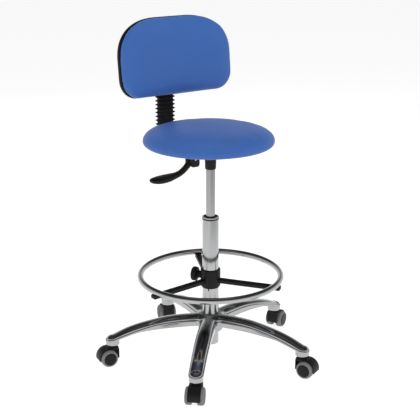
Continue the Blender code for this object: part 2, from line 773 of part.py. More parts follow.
def build_foot_ring(root):
    sleeve = empty("foot_ring_pivot", root)
    liner_inner = COLUMN_RADIUS + SLIDE
    liner_outer = liner_inner + LINER_WALL
    liner_bottom = SLEEVE_BOTTOM - LINER_LIP
    liner = turned(
        "foot_ring_liner", "black_plastic", sleeve,
        [
            (liner_outer, SLEEVE_TOP + LINER_LIP),
            (liner_outer, liner_bottom),
            (liner_inner, liner_bottom),
            (liner_inner, SLEEVE_TOP + LINER_LIP),
        ],
        ring=True,
    )
    tab = box(
        "foot_ring_liner_tab", None, sleeve,
        (-TAB_WIDTH / 2, -liner_outer + LINER_WALL * 0.1, liner_bottom - TAB_DROP),
        (TAB_WIDTH / 2, -liner_inner - LINER_WALL * 0.1, liner_bottom + REACH),
        rotation=(0, 0, math.radians(TAB_HEADING)),
    )
    join(liner, tab)

    inner = liner_outer + SLIDE
    outer = inner + SLEEVE_WALL
    spider = turned(
        "foot_ring_spider", "black_plastic", sleeve,
        [
            (outer - CHAMFER, SLEEVE_TOP),
            (outer, SLEEVE_TOP - CHAMFER),
            (outer, SLEEVE_BOTTOM + SLEEVE_CHAMFER),
            (outer - SLEEVE_CHAMFER * 0.3, SLEEVE_BOTTOM + SLEEVE_CHAMFER * 0.3),
            (outer - SLEEVE_CHAMFER * 0.6, SLEEVE_BOTTOM),
            (inner, SLEEVE_BOTTOM),
            (inner, SLEEVE_TOP),
        ],
        ring=True,
    )
    ring = finish(mesh_object("foot_ring", ring_solid), "chrome", sleeve, location=(0, 0, RING_HEIGHT))
    start = inner + SLEEVE_WALL / 2
    for index in range(SPOKES):
        name = f"spoke_{index + 1}"
        arm = empty(name, sleeve, heading=FIRST_SPOKE + index * 360 / SPOKES)
        bottom = spoke_top() - SPOKE_HEIGHT
        join(
            spider,
            box(
                name + "_bar", None, arm, (-SPOKE_WIDTH / 2, -SPOKE_END, bottom),
                (SPOKE_WIDTH / 2, -start, spoke_top()), bevel=SPOKE_BEVEL,
            ),
            box(
                name + "_rib", None, arm, (-RIB_WIDTH / 2, -RIB_STOP, spoke_top() - RIB_ROOT),
                (RIB_WIDTH / 2, -start, spoke_top() + RIB_HEIGHT),
            ),
        )
        place = {"location": (0, -RING_RADIUS, 0), "steps": 16}
        hole = SCREW_RADIUS + GAP
        bite = spoke_top() + GAP + SCREW_BITE
        cut(spider, cylinder(name + "_hole", None, arm, hole, bottom - REACH, spoke_top() + REACH, **place))
        cut(ring, cylinder(name + "_ring_hole", None, arm, hole, spoke_top() - REACH, bite + GAP, **place))
        turned(
            f"foot_ring_screw_{index + 1}", "bright_steel", arm,
            [
                (0, bite),
                (SCREW_RADIUS, bite),
                (SCREW_RADIUS, bottom - GAP),
                (SCREW_HEAD_RADIUS, bottom - GAP),
                (SCREW_HEAD_RADIUS * 0.8, bottom - GAP - SCREW_HEAD_HEIGHT),
                (0, bottom - GAP - SCREW_HEAD_HEIGHT),
            ],
            **place,
        )
    # The clamp knob's own frame has its screw along Z, pointing away from the column.
    heading = math.radians(KNOB_HEADING)
    seat = Matrix.Rotation(heading, 4, "Z") @ Matrix.Rotation(math.pi / 2, 4, "X")
    turn = {"location": (0, 0, KNOB_HEIGHT), "rotation": seat.to_euler()}
    boss = cylinder(
        "clamp_boss", None, sleeve, KNOB_BOSS_RADIUS, start, KNOB_INNER - GAP * 2, steps=24, **turn
    )
    hole = cylinder(
        "clamp_hole", None, sleeve, STUD_RADIUS + SLIDE, inner - REACH, KNOB_INNER + REACH, steps=24, **turn
    )
    join(spider, boss)
    cut(spider, hole)
    knob(
        "foot_ring_knob", sleeve, KNOB_RADIUS, KNOB_THICKNESS, KNOB_INNER, liner_outer + SLIDE, turn
    )


def ring_solid(shape):
    """A torus: a circle of points swung round Z."""
    circle = bmesh.ops.create_circle(
        shape, segments=10, radius=RING_TUBE,
        matrix=Matrix.Translation((RING_RADIUS, 0, 0)) @ Matrix.Rotation(math.pi / 2, 4, "X"),
    )
    edges = list({edge for vert in circle["verts"] for edge in vert.link_edges})
    bmesh.ops.spin(
        shape, geom=circle["verts"] + edges, cent=(0, 0, 0), axis=(0, 0, 1),
        angle=2 * math.pi, steps=RING_STEPS, use_merge=True,
    )
    bmesh.ops.remove_doubles(shape, verts=shape.verts, dist=0.00001)


def knob(name, parent, radius, thickness, inner_face, tip, place):
    """A fluted clamp knob with its stud: the stud's tip and the knob's inner face along +Z."""
    head = turned(
        name, "black_plastic", parent,
        [
            (0, inner_face + thickness),
            (radius * 0.75, inner_face + thickness),
            (radius, inner_face + thickness * 0.8),
            (radius, inner_face + thickness * 0.15),
            (radius * 0.85, inner_face),
            (STUD_RADIUS, inner_face),
            (STUD_RADIUS, tip),
            (0, tip),
        ],
        **place,
    )
    rim = Matrix(head.matrix_basis)
    location = Vector(place["location"])
    turn = place["rotation"].to_matrix().to_4x4()
    for index in range(FLUTES):
        angle = 2 * math.pi * (index + 0.5) / FLUTES
        flute = cylinder(
            f"{name}_flute_{index + 1}", None, parent, radius * 0.11, inner_face - REACH,
            inner_face + thickness + REACH, steps=6,
        )
        spot = Matrix.Translation((radius * 1.03 * math.cos(angle), radius * 1.03 * math.sin(angle), 0))
        flute.matrix_basis = Matrix.Translation(location) @ turn @ spot
        cut(head, flute)
    return head


# ---- seat ------------------------------------------------------------------------------------
def plate_top():
    return SEAT_BOTTOM - 0.0025 - GAP


def plate_bottom():
    return plate_top() - PLATE_THICKNESS


def board_bottom():
    return plate_top() + GAP


def build_seat(seat):
    middle = empty("seat_middle", seat, (0, SEAT_SETBACK, 0))
    board_top = board_bottom() + BOARD_THICKNESS
    board = turned(
        "seat_board", "plywood", middle,
        [
            (0, board_top),
            (BOARD_RADIUS, board_top),
            (BOARD_RADIUS, board_bottom()),
            (0, board_bottom()),
        ],
        steps=SEAT_STEPS,
    )
    top = SEAT_BOTTOM + SEAT_THICKNESS
    turned(
        "seat_cushion", "blue_vinyl", middle,
        [
            (0, top),
            (SEAT_FLAT, top),
            (SEAT_RADIUS * 0.51, top - 0.001),
            (SEAT_RADIUS * 0.765, top - 0.005),
            (SEAT_RADIUS * 0.918, top - 0.016),
            (SEAT_RADIUS * 0.985, top - 0.028),
            (SEAT_RADIUS, top - 0.037),
            (SEAT_RADIUS * 0.98, top - 0.047),
            (SEAT_RADIUS * 0.918, top - 0.053),
            (BOARD_RADIUS * 1.03, SEAT_BOTTOM),
            (BOARD_RADIUS + GAP, SEAT_BOTTOM),
            (BOARD_RADIUS + GAP, board_top + GAP),
            (0, board_top + GAP),
        ],
        steps=SEAT_STEPS,
    )
    half_x = PLATE_SIZE[0] / 2
    half_y = PLATE_SIZE[1] / 2
    corners = []
    for x, y, start in ((1, 1, 0), (-1, 1, 90), (-1, -1, 180), (1, -1, 270)):
        centre = (x * (half_x - PLATE_CORNER), y * (half_y - PLATE_CORNER))
        corners += arc(centre, PLATE_CORNER, start, start + 90, 5)
    plate = outline(
        "seat_plate", "black_steel", middle, corners, PLATE_THICKNESS,
        location=(0, 0, plate_top() - PLATE_THICKNESS / 2),
    )
    number = 0
    for x in (-1, 1):
        for y in (-1, 1):
            number += 1
            spot = (x * BOLT_SPACING[0] / 2, y * BOLT_SPACING[1] / 2, 0)
            bite = board_bottom() + BOLT_BITE
            place = {"location": spot, "steps": 16}
            hole = BOLT_RADIUS + GAP
            through = cylinder(
                f"bolt_hole_{number}", None, middle, hole, plate_bottom() - REACH, bite + GAP, **place
            )
            cut(plate, through)
            cut(board, through)
            turned(
                f"seat_bolt_{number}", "zinc_steel", middle,
                [
                    (0, bite),
                    (BOLT_RADIUS, bite),
                    (BOLT_RADIUS, plate_bottom() - GAP),
                    (BOLT_HEAD_RADIUS, plate_bottom() - GAP),
                    (BOLT_HEAD_RADIUS, plate_bottom() - GAP - BOLT_HEAD_HEIGHT),
                    (0, plate_bottom() - GAP - BOLT_HEAD_HEIGHT),
                ],
                **place,
            )
    socket_top = plate_bottom() - GAP
    bore = TUBE_RADIUS + GAP
    socket = turned(
        "taper_socket", "black_plastic", seat,
        [
            (SOCKET_TOP_RADIUS, socket_top),
            (SOCKET_BOTTOM_RADIUS, SOCKET_BOTTOM + CHAMFER),
            (SOCKET_BOTTOM_RADIUS - CHAMFER, SOCKET_BOTTOM),
            (bore, SOCKET_BOTTOM),
            (bore, socket_top),
        ],
        ring=True,
    )
    slot = box(
        "finger_slot", None, seat,
        (-SOCKET_TOP_RADIUS - REACH, -FINGER_WIDTH / 2 - 0.001, finger_bottom() - PIN_TRAVEL - 0.002),
        (0, FINGER_WIDTH / 2 + 0.001, socket_top + REACH),
    )
    cut(socket, slot)


def finger_bottom():
    return pin_top() + FINGER_GAP


# ---- release lever ---------------------------------------------------------------------------
def build_lever(seat):
    half_x = BRACKET_SIZE[0] / 2
    half_y = BRACKET_SIZE[1] / 2
    top = plate_bottom() - GAP
    corner = BRACKET_CORNER
    side = [(half_x, top), (-half_x, top)]
    side += arc((-half_x + corner, BRACKET_BOTTOM + corner), corner, 180, 270, 5)
    side += arc((half_x - corner, BRACKET_BOTTOM + corner), corner, 270, 360, 5)
    bracket = outline(
        "lever_bracket", "black_plastic", seat, side, BRACKET_SIZE[1],
        location=(LEVER_X, 0, 0), rotation=ACROSS_X,
    )
    slot_half = LEVER_WIDTH / 2 + LEVER_SIDE_CLEARANCE
    cut(
        bracket,
        box(
            "bracket_slot", None, seat,
            (LEVER_X - half_x + BRACKET_WALL, -slot_half, BRACKET_BOTTOM - REACH),
            (LEVER_X + half_x + REACH, slot_half, top + REACH),
        ),
        box(
            "bracket_mouth", None, seat,
            (LEVER_X - half_x - REACH, -slot_half, BRACKET_BOTTOM - REACH),
            (LEVER_X, slot_half, ARM_EXIT),
        ),
        cylinder(
            "bracket_pivot_hole", None, seat, PIVOT_RADIUS + GAP, -half_y - REACH, half_y + REACH,
            steps=20, location=(LEVER_X, 0, LEVER_Z), rotation=ACROSS_X,
        ),
    )
    cylinder(
        "lever_pivot_pin", "zinc_steel", seat, PIVOT_RADIUS, -half_y, half_y, steps=20,
        location=(LEVER_X, 0, LEVER_Z), rotation=ACROSS_X,
    )
    pivot = empty("lever_pivot", seat, (LEVER_X, 0, LEVER_Z))
    lever = cylinder(
        "release_lever", "black_plastic", pivot, LEVER_HUB_RADIUS, -LEVER_WIDTH / 2, LEVER_WIDTH / 2,
        steps=28, rotation=ACROSS_X,
    )
    low = finger_bottom() - LEVER_Z
    high = low + FINGER_THICKNESS
    join(
        lever,
        tube("lever_arm", None, pivot, [(x, 0, z) for x, z in ARM_PATH], ARM_RADIUS),
        finish(mesh_object("lever_paddle", paddle_solid), None, pivot),
        box(
            "lever_neck", None, pivot, (-0.005, -FINGER_WIDTH / 2, 0.002),
            (0.005, FINGER_WIDTH / 2, high),
        ),
        box(
            "lever_finger", None, pivot, (0.001, -FINGER_WIDTH / 2, low),
            (-LEVER_X + FINGER_PAST, FINGER_WIDTH / 2, high),
        ),
    )
    cut(
        lever,
        cylinder(
            "lever_pivot_hole", None, pivot, PIVOT_RADIUS + SLIDE, -LEVER_WIDTH, LEVER_WIDTH,
            steps=20, rotation=ACROSS_X,
        ),
    )


def paddle_solid(shape):
    size = Matrix.Diagonal((*[side / 2 for side in PADDLE_SIZE], 1))
    place = Matrix.Translation((PADDLE_CENTRE[0], 0, PADDLE_CENTRE[1]))
    bmesh.ops.create_uvsphere(shape, u_segments=16, v_segments=10, radius=1, matrix=place @ size)


# ---- back ------------------------------------------------------------------------------------
def bar_outline():
    """Side view of the bent bar: x is the depth and y the height."""
    half = BAR_THICKNESS / 2
    centre = (BAR_Y - BAR_BEND, BAR_Z + BAR_BEND)
    points = [(BAR_END_Y, BAR_Z - half)]
    points += arc(centre, BAR_BEND + half, 270, 360, 7)
    points += [(BAR_Y + half, BAR_TOP), (BAR_Y - half, BAR_TOP)]
    points += arc(centre, BAR_BEND - half, 360, 270, 7)
    points += [(BAR_END_Y, BAR_Z + half)]
    return points


def bar_slot(name, parent, low, high):
    """A cutter for the passage of the bar, with running clearance, between two corners."""
    return box(name, None, parent, low, high)


def build_back_bar(seat):
    half_x = BAR_WIDTH / 2 + SLIDE
    half_t = BAR_THICKNESS / 2 + SLIDE
    low_y = GUIDE_Y - GUIDE_SIZE[1] / 2
    high_y = GUIDE_Y + GUIDE_SIZE[1] / 2
    guide = box(
        "bar_guide", "black_steel", seat,
        (-GUIDE_SIZE[0] / 2, low_y, GUIDE_BOTTOM), (GUIDE_SIZE[0] / 2, high_y, plate_bottom() - GAP),
    )
    knob_place = {"location": (0, GUIDE_Y, 0), "rotation": Matrix.Rotation(math.pi, 3, "X").to_euler()}
    cut(
        guide,
        bar_slot(
            "guide_slot", seat, (-half_x, low_y - REACH, BAR_Z - half_t),
            (half_x, high_y + REACH, BAR_Z + half_t),
        ),
        cylinder(
            "guide_knob_hole", None, seat, STUD_RADIUS + SLIDE, -BAR_Z, -GUIDE_BOTTOM + REACH,
            steps=24, **knob_place,
        ),
    )
    knob(
        "depth_knob", seat, BACK_KNOB_RADIUS, BACK_KNOB_THICKNESS, -GUIDE_BOTTOM + KNOB_STANDOFF,
        -(BAR_Z - BAR_THICKNESS / 2 - SLIDE), knob_place,
    )
    # The outline's own Z becomes the bar's width, along X.
    turn = (Matrix.Rotation(math.pi / 2, 4, "Z") @ Matrix.Rotation(math.pi / 2, 4, "X")).to_euler()
    outline("back_bar", "black_steel", seat, bar_outline(), BAR_WIDTH, rotation=turn)


def rounded_loop(size, height, steps=3):
    """A rectangle with round corners, centred on the bar's upright stretch."""
    radius = min(size) * 0.3
    points = []
    for x, y, start in ((1, 1, 0), (-1, 1, 90), (-1, -1, 180), (1, -1, 270)):
        centre = (x * (size[0] / 2 - radius), y * (size[1] / 2 - radius))
        points += arc(centre, radius, start, start + 90, steps)
    return [Vector((x, BAR_Y + y, height)) for x, y in points]


def bellows_solid(shape):
    top = CARRIAGE_BOTTOM - GAP
    pitch = (top - BELLOWS_BOTTOM) / BELLOWS_FOLDS
    loops = [rounded_loop(BELLOWS_VALLEY, BELLOWS_BOTTOM)]
    for fold in range(BELLOWS_FOLDS):
        start = BELLOWS_BOTTOM + pitch * fold
        loops.append(rounded_loop(BELLOWS_CREST, start + pitch / 2))
        loops.append(rounded_loop(BELLOWS_VALLEY, start + pitch))
    loft(shape, loops)


def back_outline():
    """Front view of the backrest about its middle: x across and y up."""
    half = BACK_WIDTH / 2
    low = -BACK_HEIGHT / 2
    high = BACK_HEIGHT / 2
    right = arc((half - BOTTOM_CORNER, low + BOTTOM_CORNER), BOTTOM_CORNER, -90, 0, 6)
    for angle in range(0, 91, 10):
        turn = math.radians(angle)
        right.append(
            (
                half - TOP_CORNER[0] * (1 - math.cos(turn) ** 0.87),
                high - TOP_CORNER[1] * (1 - math.sin(turn) ** 0.87),
            )
        )
    left = [(-x, y) for x, y in reversed(right)]
    return right + left


def bent_slab(front, back):
    """Plan of a slab bent round the sitter, from its front to its back distance: (x, y)."""
    reach = math.degrees(BACK_WIDTH * 0.6 / BACK_CURVE)
    centre = (0, -BACK_CURVE)
    return arc(centre, BACK_CURVE + back, 90 - reach, 90 + reach, 15) + arc(
        centre, BACK_CURVE + front, 90 + reach, 90 - reach, 15
    )


def panel(name, slot, tilt, front, back):
    """A bent slab trimmed to the backrest's outline."""
    slab = outline(name, slot, tilt, bent_slab(front, back), BACK_HEIGHT * 1.2)
    trim = outline(name + "_trim", None, tilt, back_outline(), BACK_WIDTH, rotation=ACROSS_X)
    boolean(slab, trim, "INTERSECT")
    return slab


def build_back(seat):
    build_back_bar(seat)
    half_x = BAR_WIDTH / 2 + SLIDE
    half_t = BAR_THICKNESS / 2 + SLIDE
    bellows = finish(mesh_object("back_bellows", bellows_solid), "black_rubber", seat)
    cut(
        bellows,
        bar_slot(
            "bellows_slot", seat, (-half_x, BAR_Y - half_t, BELLOWS_BOTTOM - REACH),
            (half_x, BAR_Y + half_t, CARRIAGE_BOTTOM + REACH),
        ),
    )
    back = empty("back_height", seat)
    low_y = BAR_Y - CARRIAGE_SIZE[1] / 2
    high_y = BAR_Y + CARRIAGE_SIZE[1] / 2
    top = CARRIAGE_BOTTOM + CARRIAGE_HEIGHT
    carriage = box(
        "back_carriage", "black_plastic", back,
        (-CARRIAGE_SIZE[0] / 2, low_y, CARRIAGE_BOTTOM), (CARRIAGE_SIZE[0] / 2, high_y, top),
    )
    tilt = empty("back_tilt", back, (0, BACK_Y, BACK_Z))
    tilt.rotation_euler = (-math.radians(BACK_TILT), 0, 0)
    pad = box(
        "carriage_pad", None, tilt,
        (-PAD_SIZE[0] / 2, BACK_THICKNESS / 2 + GAP, -PAD_SIZE[1] / 2 - 0.012),
        (PAD_SIZE[0] / 2, low_y - BACK_Y + 0.006, PAD_SIZE[1] / 2 - 0.032),
    )
    join(carriage, pad)
    knob_place = {
        "location": (0, 0, CARRIAGE_KNOB_Z),
        "rotation": Matrix.Rotation(-math.pi / 2, 3, "X").to_euler(),
    }
    cut(
        carriage,
        bar_slot(
            "carriage_slot", back, (-half_x, BAR_Y - half_t, CARRIAGE_BOTTOM - REACH),
            (half_x, BAR_Y + half_t, top + REACH),
        ),
        cylinder(
            "carriage_knob_hole", None, back, STUD_RADIUS + SLIDE, BAR_Y, high_y + REACH,
            steps=24, **knob_place,
        ),
    )
    knob(
        "back_knob", back, BACK_KNOB_RADIUS, BACK_KNOB_THICKNESS, high_y + KNOB_STANDOFF,
        BAR_Y + BAR_THICKNESS / 2 + SLIDE, knob_place,
    )
    rear = BACK_THICKNESS / 2
    split = rear - SHELL_THICKNESS
    panel("backrest_shell", "black_plastic", tilt, split, rear)
    cushion = panel("backrest_cushion", "blue_vinyl", tilt, -rear, split - GAP)
    add_bevel(cushion, CUSHION_BEVEL, segments=2, angle=50)


def main():
    global parts, cutters
    clear_scene()
    parts = new_collection("dentist_stool")
    cutters = new_collection("cutters", hidden=True)
    add_material("polished_aluminium", (0.80, 0.81, 0.82), 0.12, 1.0)
    add_material("chrome", (0.82, 0.83, 0.84), 0.06, 1.0)
    add_material("bright_steel", (0.62, 0.63, 0.65), 0.25, 1.0)
    add_material("zinc_steel", (0.55, 0.56, 0.58), 0.35, 1.0)
    add_material("black_steel", (0.020, 0.020, 0.022), 0.45, 0.0)
    add_material("black_plastic", (0.018, 0.018, 0.020), 0.42, 0.0)
    add_material("black_rubber", (0.012, 0.012, 0.013), 0.65, 0.0)
    add_material("grey_tread", (0.24, 0.24, 0.25), 0.55, 0.0)
    add_material("plywood", (0.45, 0.30, 0.16), 0.60, 0.0)
    add_material("blue_vinyl", (0.055, 0.135, 0.420), 0.45, 0.0)
    root = empty("stool", location=(COLUMN_X, COLUMN_Y, 0))
    build_base(root)
    build_column(root)
    build_foot_ring(root)
    turn = empty("seat_turn", root)
    build_rod(turn)
    seat = empty("seat_lift", turn)
    build_gas_tube(seat)
    build_seat(seat)
    build_lever(seat)
    build_back(seat)
    bpy.context.view_layer.update()


main()
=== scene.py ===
"""The looks of a dentist's stool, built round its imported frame. Metres, +Z up, floor at z = 0."""

import bisect
import json
import math

import bmesh
import bpy
from mathutils import Matrix, Vector


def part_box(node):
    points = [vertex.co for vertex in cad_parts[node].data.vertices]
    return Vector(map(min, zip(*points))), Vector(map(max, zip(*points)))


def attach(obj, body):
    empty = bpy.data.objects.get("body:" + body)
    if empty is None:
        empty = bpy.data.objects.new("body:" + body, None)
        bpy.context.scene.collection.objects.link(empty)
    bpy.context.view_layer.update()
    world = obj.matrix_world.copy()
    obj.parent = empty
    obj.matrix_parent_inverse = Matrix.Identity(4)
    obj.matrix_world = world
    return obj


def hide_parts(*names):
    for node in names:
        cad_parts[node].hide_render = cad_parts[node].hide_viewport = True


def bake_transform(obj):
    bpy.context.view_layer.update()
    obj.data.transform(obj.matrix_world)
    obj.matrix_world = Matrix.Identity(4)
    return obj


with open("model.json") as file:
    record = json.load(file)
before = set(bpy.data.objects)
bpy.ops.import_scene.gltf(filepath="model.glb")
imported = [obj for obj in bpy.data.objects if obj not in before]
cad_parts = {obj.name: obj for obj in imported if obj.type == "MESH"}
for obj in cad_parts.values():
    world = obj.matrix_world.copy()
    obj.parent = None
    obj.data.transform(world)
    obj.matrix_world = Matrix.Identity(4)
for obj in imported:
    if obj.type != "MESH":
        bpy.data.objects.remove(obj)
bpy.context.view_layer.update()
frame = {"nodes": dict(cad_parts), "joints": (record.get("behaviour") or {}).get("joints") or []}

# ---- places read from the frame --------------------------------------------------------------
def over(node):
    """A place on the floor under the middle of a solid."""
    low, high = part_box(node)
    return Matrix.Translation(((low.x + high.x) / 2, (low.y + high.y) / 2, 0))


AXIS = over("column_tube")
JOINTS = {joint["name"]: joint for joint in frame["joints"]}
LEGS = 5

# ---- shared sizes ----------------------------------------------------------------------------
FINE = 96                    # facets of a large turned piece
SMALL = 48                   # facets of a small one
EDGE = 0.0012                # usual rounding of a moulded edge
GAP = 0.0003                 # left between drawn faces that touch in the solids
STUD_HOLE = 0.0043           # radius of the hole round a knob's stud


def facing(x, y, z):
    """Quarter turns given as multiples of 90 degrees about X, Y and Z."""
    turn = Matrix.Identity(4)
    for axis, quarters in (("X", x), ("Y", y), ("Z", z)):
        turn = Matrix.Rotation(quarters * math.pi / 2, 4, axis) @ turn
    return turn


# ---- finishes --------------------------------------------------------------------------------
class Value:
    """A socket of a material's tree, usable in arithmetic."""

    def __init__(self, finish, socket):
        self.finish = finish
        self.socket = socket

    def math(self, operation, *others):
        inputs = dict(enumerate((self, *others)))
        return self.finish.node("ShaderNodeMath", {"operation": operation}, inputs)

    def __add__(self, other):
        return self.math("ADD", other)

    __radd__ = __add__

    def __mul__(self, other):
        return self.math("MULTIPLY", other)

    __rmul__ = __mul__

    def __sub__(self, other):
        return self.math("SUBTRACT", other)

    def __rsub__(self, other):
        return self.finish.node("ShaderNodeMath", {"operation": "SUBTRACT"}, {0: other, 1: self})

    def __truediv__(self, other):
        return self.math("DIVIDE", other)


class Finish:
    """A material round one Principled shader."""

    def __init__(self, name, colour, roughness, metallic=0.0, fixed=None):
        self.material = bpy.data.materials.new(name)
        self.material.use_nodes = True
        self.tree = self.material.node_tree
        self.shader = self.tree.nodes["Principled BSDF"]
        self.put("Base Color", (*colour, 1))
        self.put("Roughness", roughness)
        self.put("Metallic", metallic)
        for socket, value in (fixed or {}).items():
            self.put(socket, value)

    def put(self, socket, value):
        """Sets or links a socket of the shader."""
        self.join(self.shader.inputs[socket], value)

    def join(self, socket, value):
        if isinstance(value, Value):
            self.tree.links.new(value.socket, socket)
        else:
            socket.default_value = value

    def node(self, kind, settings=None, inputs=None, output=0):
        """Adds a node: its settings first, then its sockets by name or number."""
        node = self.tree.nodes.new(kind)
        for key, value in (settings or {}).items():
            setattr(node, key, value)
        for key, value in (inputs or {}).items():
            self.join(node.inputs[key], value)
        return Value(self, node.outputs[output])

    def place(self):
        """Position on the piece in metres."""
        return self.node("ShaderNodeTexCoord", output="Object")

    def noise(self, scale, detail=2.0, roughness=0.5, stretch=None):
        vector = self.place()
        if stretch:
            vector = self.node("ShaderNodeMapping", None, {"Vector": vector, "Scale": stretch})
        return self.node(
            "ShaderNodeTexNoise", None,
            {"Vector": vector, "Scale": scale, "Detail": detail, "Roughness": roughness},
        )

    def cells(self, scale, feature="F1"):
        return self.node(
            "ShaderNodeTexVoronoi", {"feature": feature}, {"Vector": self.place(), "Scale": scale}
        )

    def between(self, low, high, mask):
        """A number that runs from low to high as the mask goes from 0 to 1."""
        return mask * (high - low) + low

    def mix_colour(self, mask, one, other):
        """Two colours of three numbers each, or values, mixed by the mask."""
        ends = [end if isinstance(end, Value) else (*end, 1) for end in (one, other)]
        return self.node(
            "ShaderNodeMix", {"data_type": "RGBA"}, {0: mask, 6: ends[0], 7: ends[1]}, output=2
        )

    def ramp(self, value, low, high):
        """0 to 1 as the value goes from low to high, with soft ends."""
        return self.node(
            "ShaderNodeMapRange", {"interpolation_type": "SMOOTHERSTEP"},
            {"Value": value, "From Min": low, "From Max": high},
        )

    def bump(self, height, distance):
        inputs = {"Height": height, "Distance": distance}
        self.put("Normal", self.node("ShaderNodeBump", None, inputs))


def bare_metal(name, colour, roughness, streaks, grain_scale=(60, 60, 6)):
    """Plated or polished metal: faint haze and fine polishing lines."""
    finish = Finish(name, colour, roughness, metallic=1.0)
    haze = finish.noise(18, detail=3)
    lines = finish.noise(40, detail=4, stretch=grain_scale)
    finish.put("Roughness", finish.between(roughness * 0.7, roughness * 1.5, haze))
    darker = tuple(c * 0.93 for c in colour)
    finish.put("Base Color", finish.mix_colour(haze, darker, colour))
    finish.bump(lines, streaks)
    return finish.material


def moulded_plastic(name, colour, roughness, grain=0.00006, scale=900, lift=1.5):
    """Black moulded plastic: fine spark-eroded grain, a little paler and smoother where handled."""
    finish = Finish(name, colour, roughness, fixed={"Specular IOR Level": 0.2})
    wear = finish.noise(9, detail=4)
    pits = finish.cells(scale)
    fine = finish.noise(scale * 1.7, detail=2)
    finish.put("Roughness", finish.between(roughness - 0.07, roughness + 0.09, wear))
    worn = tuple(c * lift for c in colour)
    finish.put("Base Color", finish.mix_colour(wear, colour, worn))
    finish.bump(pits + fine * 0.5, grain)
    return finish.material


def upholstery_vinyl(name, colour):
    """Smooth coated vinyl: leather grain, faint mottling and a soft sheen."""
    finish = Finish(
        name, colour, 0.46,
        fixed={"Sheen Weight": 0.02, "Sheen Roughness": 0.5, "Specular IOR Level": 0.15},
    )
    mottle = finish.noise(7, detail=3)
    cells = finish.cells(620, feature="DISTANCE_TO_EDGE")
    creases = finish.noise(240, detail=4, roughness=0.6)
    grain = cells.math("MINIMUM", 0.25) * 2.4 + creases * 0.6
    darker = tuple(c * 0.93 for c in colour)
    paler = tuple(min(1.0, c * 1.07) for c in colour)
    finish.put("Base Color", finish.mix_colour(mottle, darker, paler))
    finish.put("Roughness", finish.between(0.40, 0.52, creases))
    finish.bump(grain, 0.00008)
    return finish.material


def tread_rubber(name, colour):
    """Grey wheel tread: matt, dusty in patches."""
    finish = Finish(name, colour, 0.6, fixed={"Specular IOR Level": 0.3})
    dust = finish.noise(45, detail=5, roughness=0.65)
    fine = finish.noise(900, detail=2)
    dull = tuple(c * 0.82 for c in colour)
    finish.put("Base Color", finish.mix_colour(dust, dull, colour))
    finish.put("Roughness", finish.between(0.5, 0.72, dust))
    finish.bump(fine, 0.00005)
    return finish.material


def birch_plywood(name):
    """Seat board: long grain with darker growth lines."""
    finish = Finish(name, (0.50, 0.34, 0.19), 0.6)
    grain = finish.noise(16, detail=6, roughness=0.6, stretch=(1, 9, 9))
    pores = finish.noise(140, detail=3, stretch=(1, 7, 7))
    finish.put("Base Color", finish.mix_colour(grain, (0.30, 0.18, 0.085), (0.62, 0.44, 0.26)))
    finish.put("Roughness", finish.between(0.5, 0.75, pores))
    finish.bump(pores, 0.00010)
    return finish.material


def powder_coat(name, colour):
    """Satin black powder coat with its orange-peel surface."""
    finish = Finish(name, colour, 0.42, fixed={"Specular IOR Level": 0.5})
    peel = finish.noise(520, detail=2)
    rub = finish.noise(12, detail=4)
    paler = tuple(c * 1.6 for c in colour)
    finish.put("Base Color", finish.mix_colour(rub, colour, paler))
    finish.put("Roughness", finish.between(0.34, 0.52, rub))
    finish.bump(peel, 0.00006)
    return finish.material


FINISHES = {
    "polished_aluminium": bare_metal(
        "polished_aluminium_visible", (0.44, 0.444, 0.45), 0.10, 0.000012
    ),
    "chrome": bare_metal("chrome_visible", (0.47, 0.474, 0.48), 0.10, 0.000006),
    "gas_chrome": bare_metal("gas_chrome_visible", (0.40, 0.405, 0.41), 0.16, 0.00001),
    "bright_steel": bare_metal("bright_steel_visible", (0.60, 0.61, 0.63), 0.22, 0.00001),
    "zinc_steel": bare_metal("zinc_steel_visible", (0.55, 0.56, 0.58), 0.32, 0.00001),
    "black_steel": powder_coat("black_steel_visible", (0.018, 0.018, 0.020)),
    "black_plastic": moulded_plastic("black_plastic_visible", (0.008, 0.008, 0.009), 0.45),
    "gloss_plastic": moulded_plastic(
        "gloss_plastic_visible", (0.005, 0.005, 0.006), 0.33, grain=0.00002
    ),
    "black_rubber": moulded_plastic("black_rubber_visible", (0.012, 0.012, 0.013), 0.60, scale=500),
    "grey_tread": tread_rubber("grey_tread_visible", (0.22, 0.22, 0.23)),
    "plywood": birch_plywood("plywood_visible"),
    "blue_vinyl": upholstery_vinyl("blue_vinyl_visible", (0.053, 0.142, 0.440)),
}


# ---- shapes ----------------------------------------------------------------------------------
def new_piece(name, mesh, matrix=Matrix.Identity(4), sharp=32):
    """A piece from a mesh, smooth except at its sharp edges."""
    mesh.transform(matrix)
    mesh.shade_smooth()
    mesh.set_sharp_from_angle(angle=math.radians(sharp))
    obj = bpy.data.objects.new(name, mesh)
    bpy.context.scene.collection.objects.link(obj)
    return obj


def drawn(name, build, matrix=Matrix.Identity(4), sharp=32):
    """A piece whose mesh the function build draws in a bmesh."""
    mesh = bpy.data.meshes.new(name)
    shape = bmesh.new()
    build(shape)
    bmesh.ops.recalc_face_normals(shape, faces=shape.faces)
    shape.to_mesh(mesh)
    shape.free()
    return new_piece(name, mesh, matrix, sharp)


def settle(obj, sharp=32):
    """Applies a piece's modifiers to its mesh."""
    bpy.context.view_layer.update()
    evaluated = obj.evaluated_get(bpy.context.evaluated_depsgraph_get())
    mesh = bpy.data.meshes.new_from_object(evaluated)
    obj.modifiers.clear()
    obj.data = mesh
    mesh.shade_smooth()
    mesh.set_sharp_from_angle(angle=math.radians(sharp))
    return obj


def arc(centre, radius, start, end, count):
    """Points of an arc in degrees, both ends included."""
    step = (end - start) / (count - 1)
    angles = [math.radians(start + i * step) for i in range(count)]
    return [(centre[0] + radius * math.cos(a), centre[1] + radius * math.sin(a)) for a in angles]


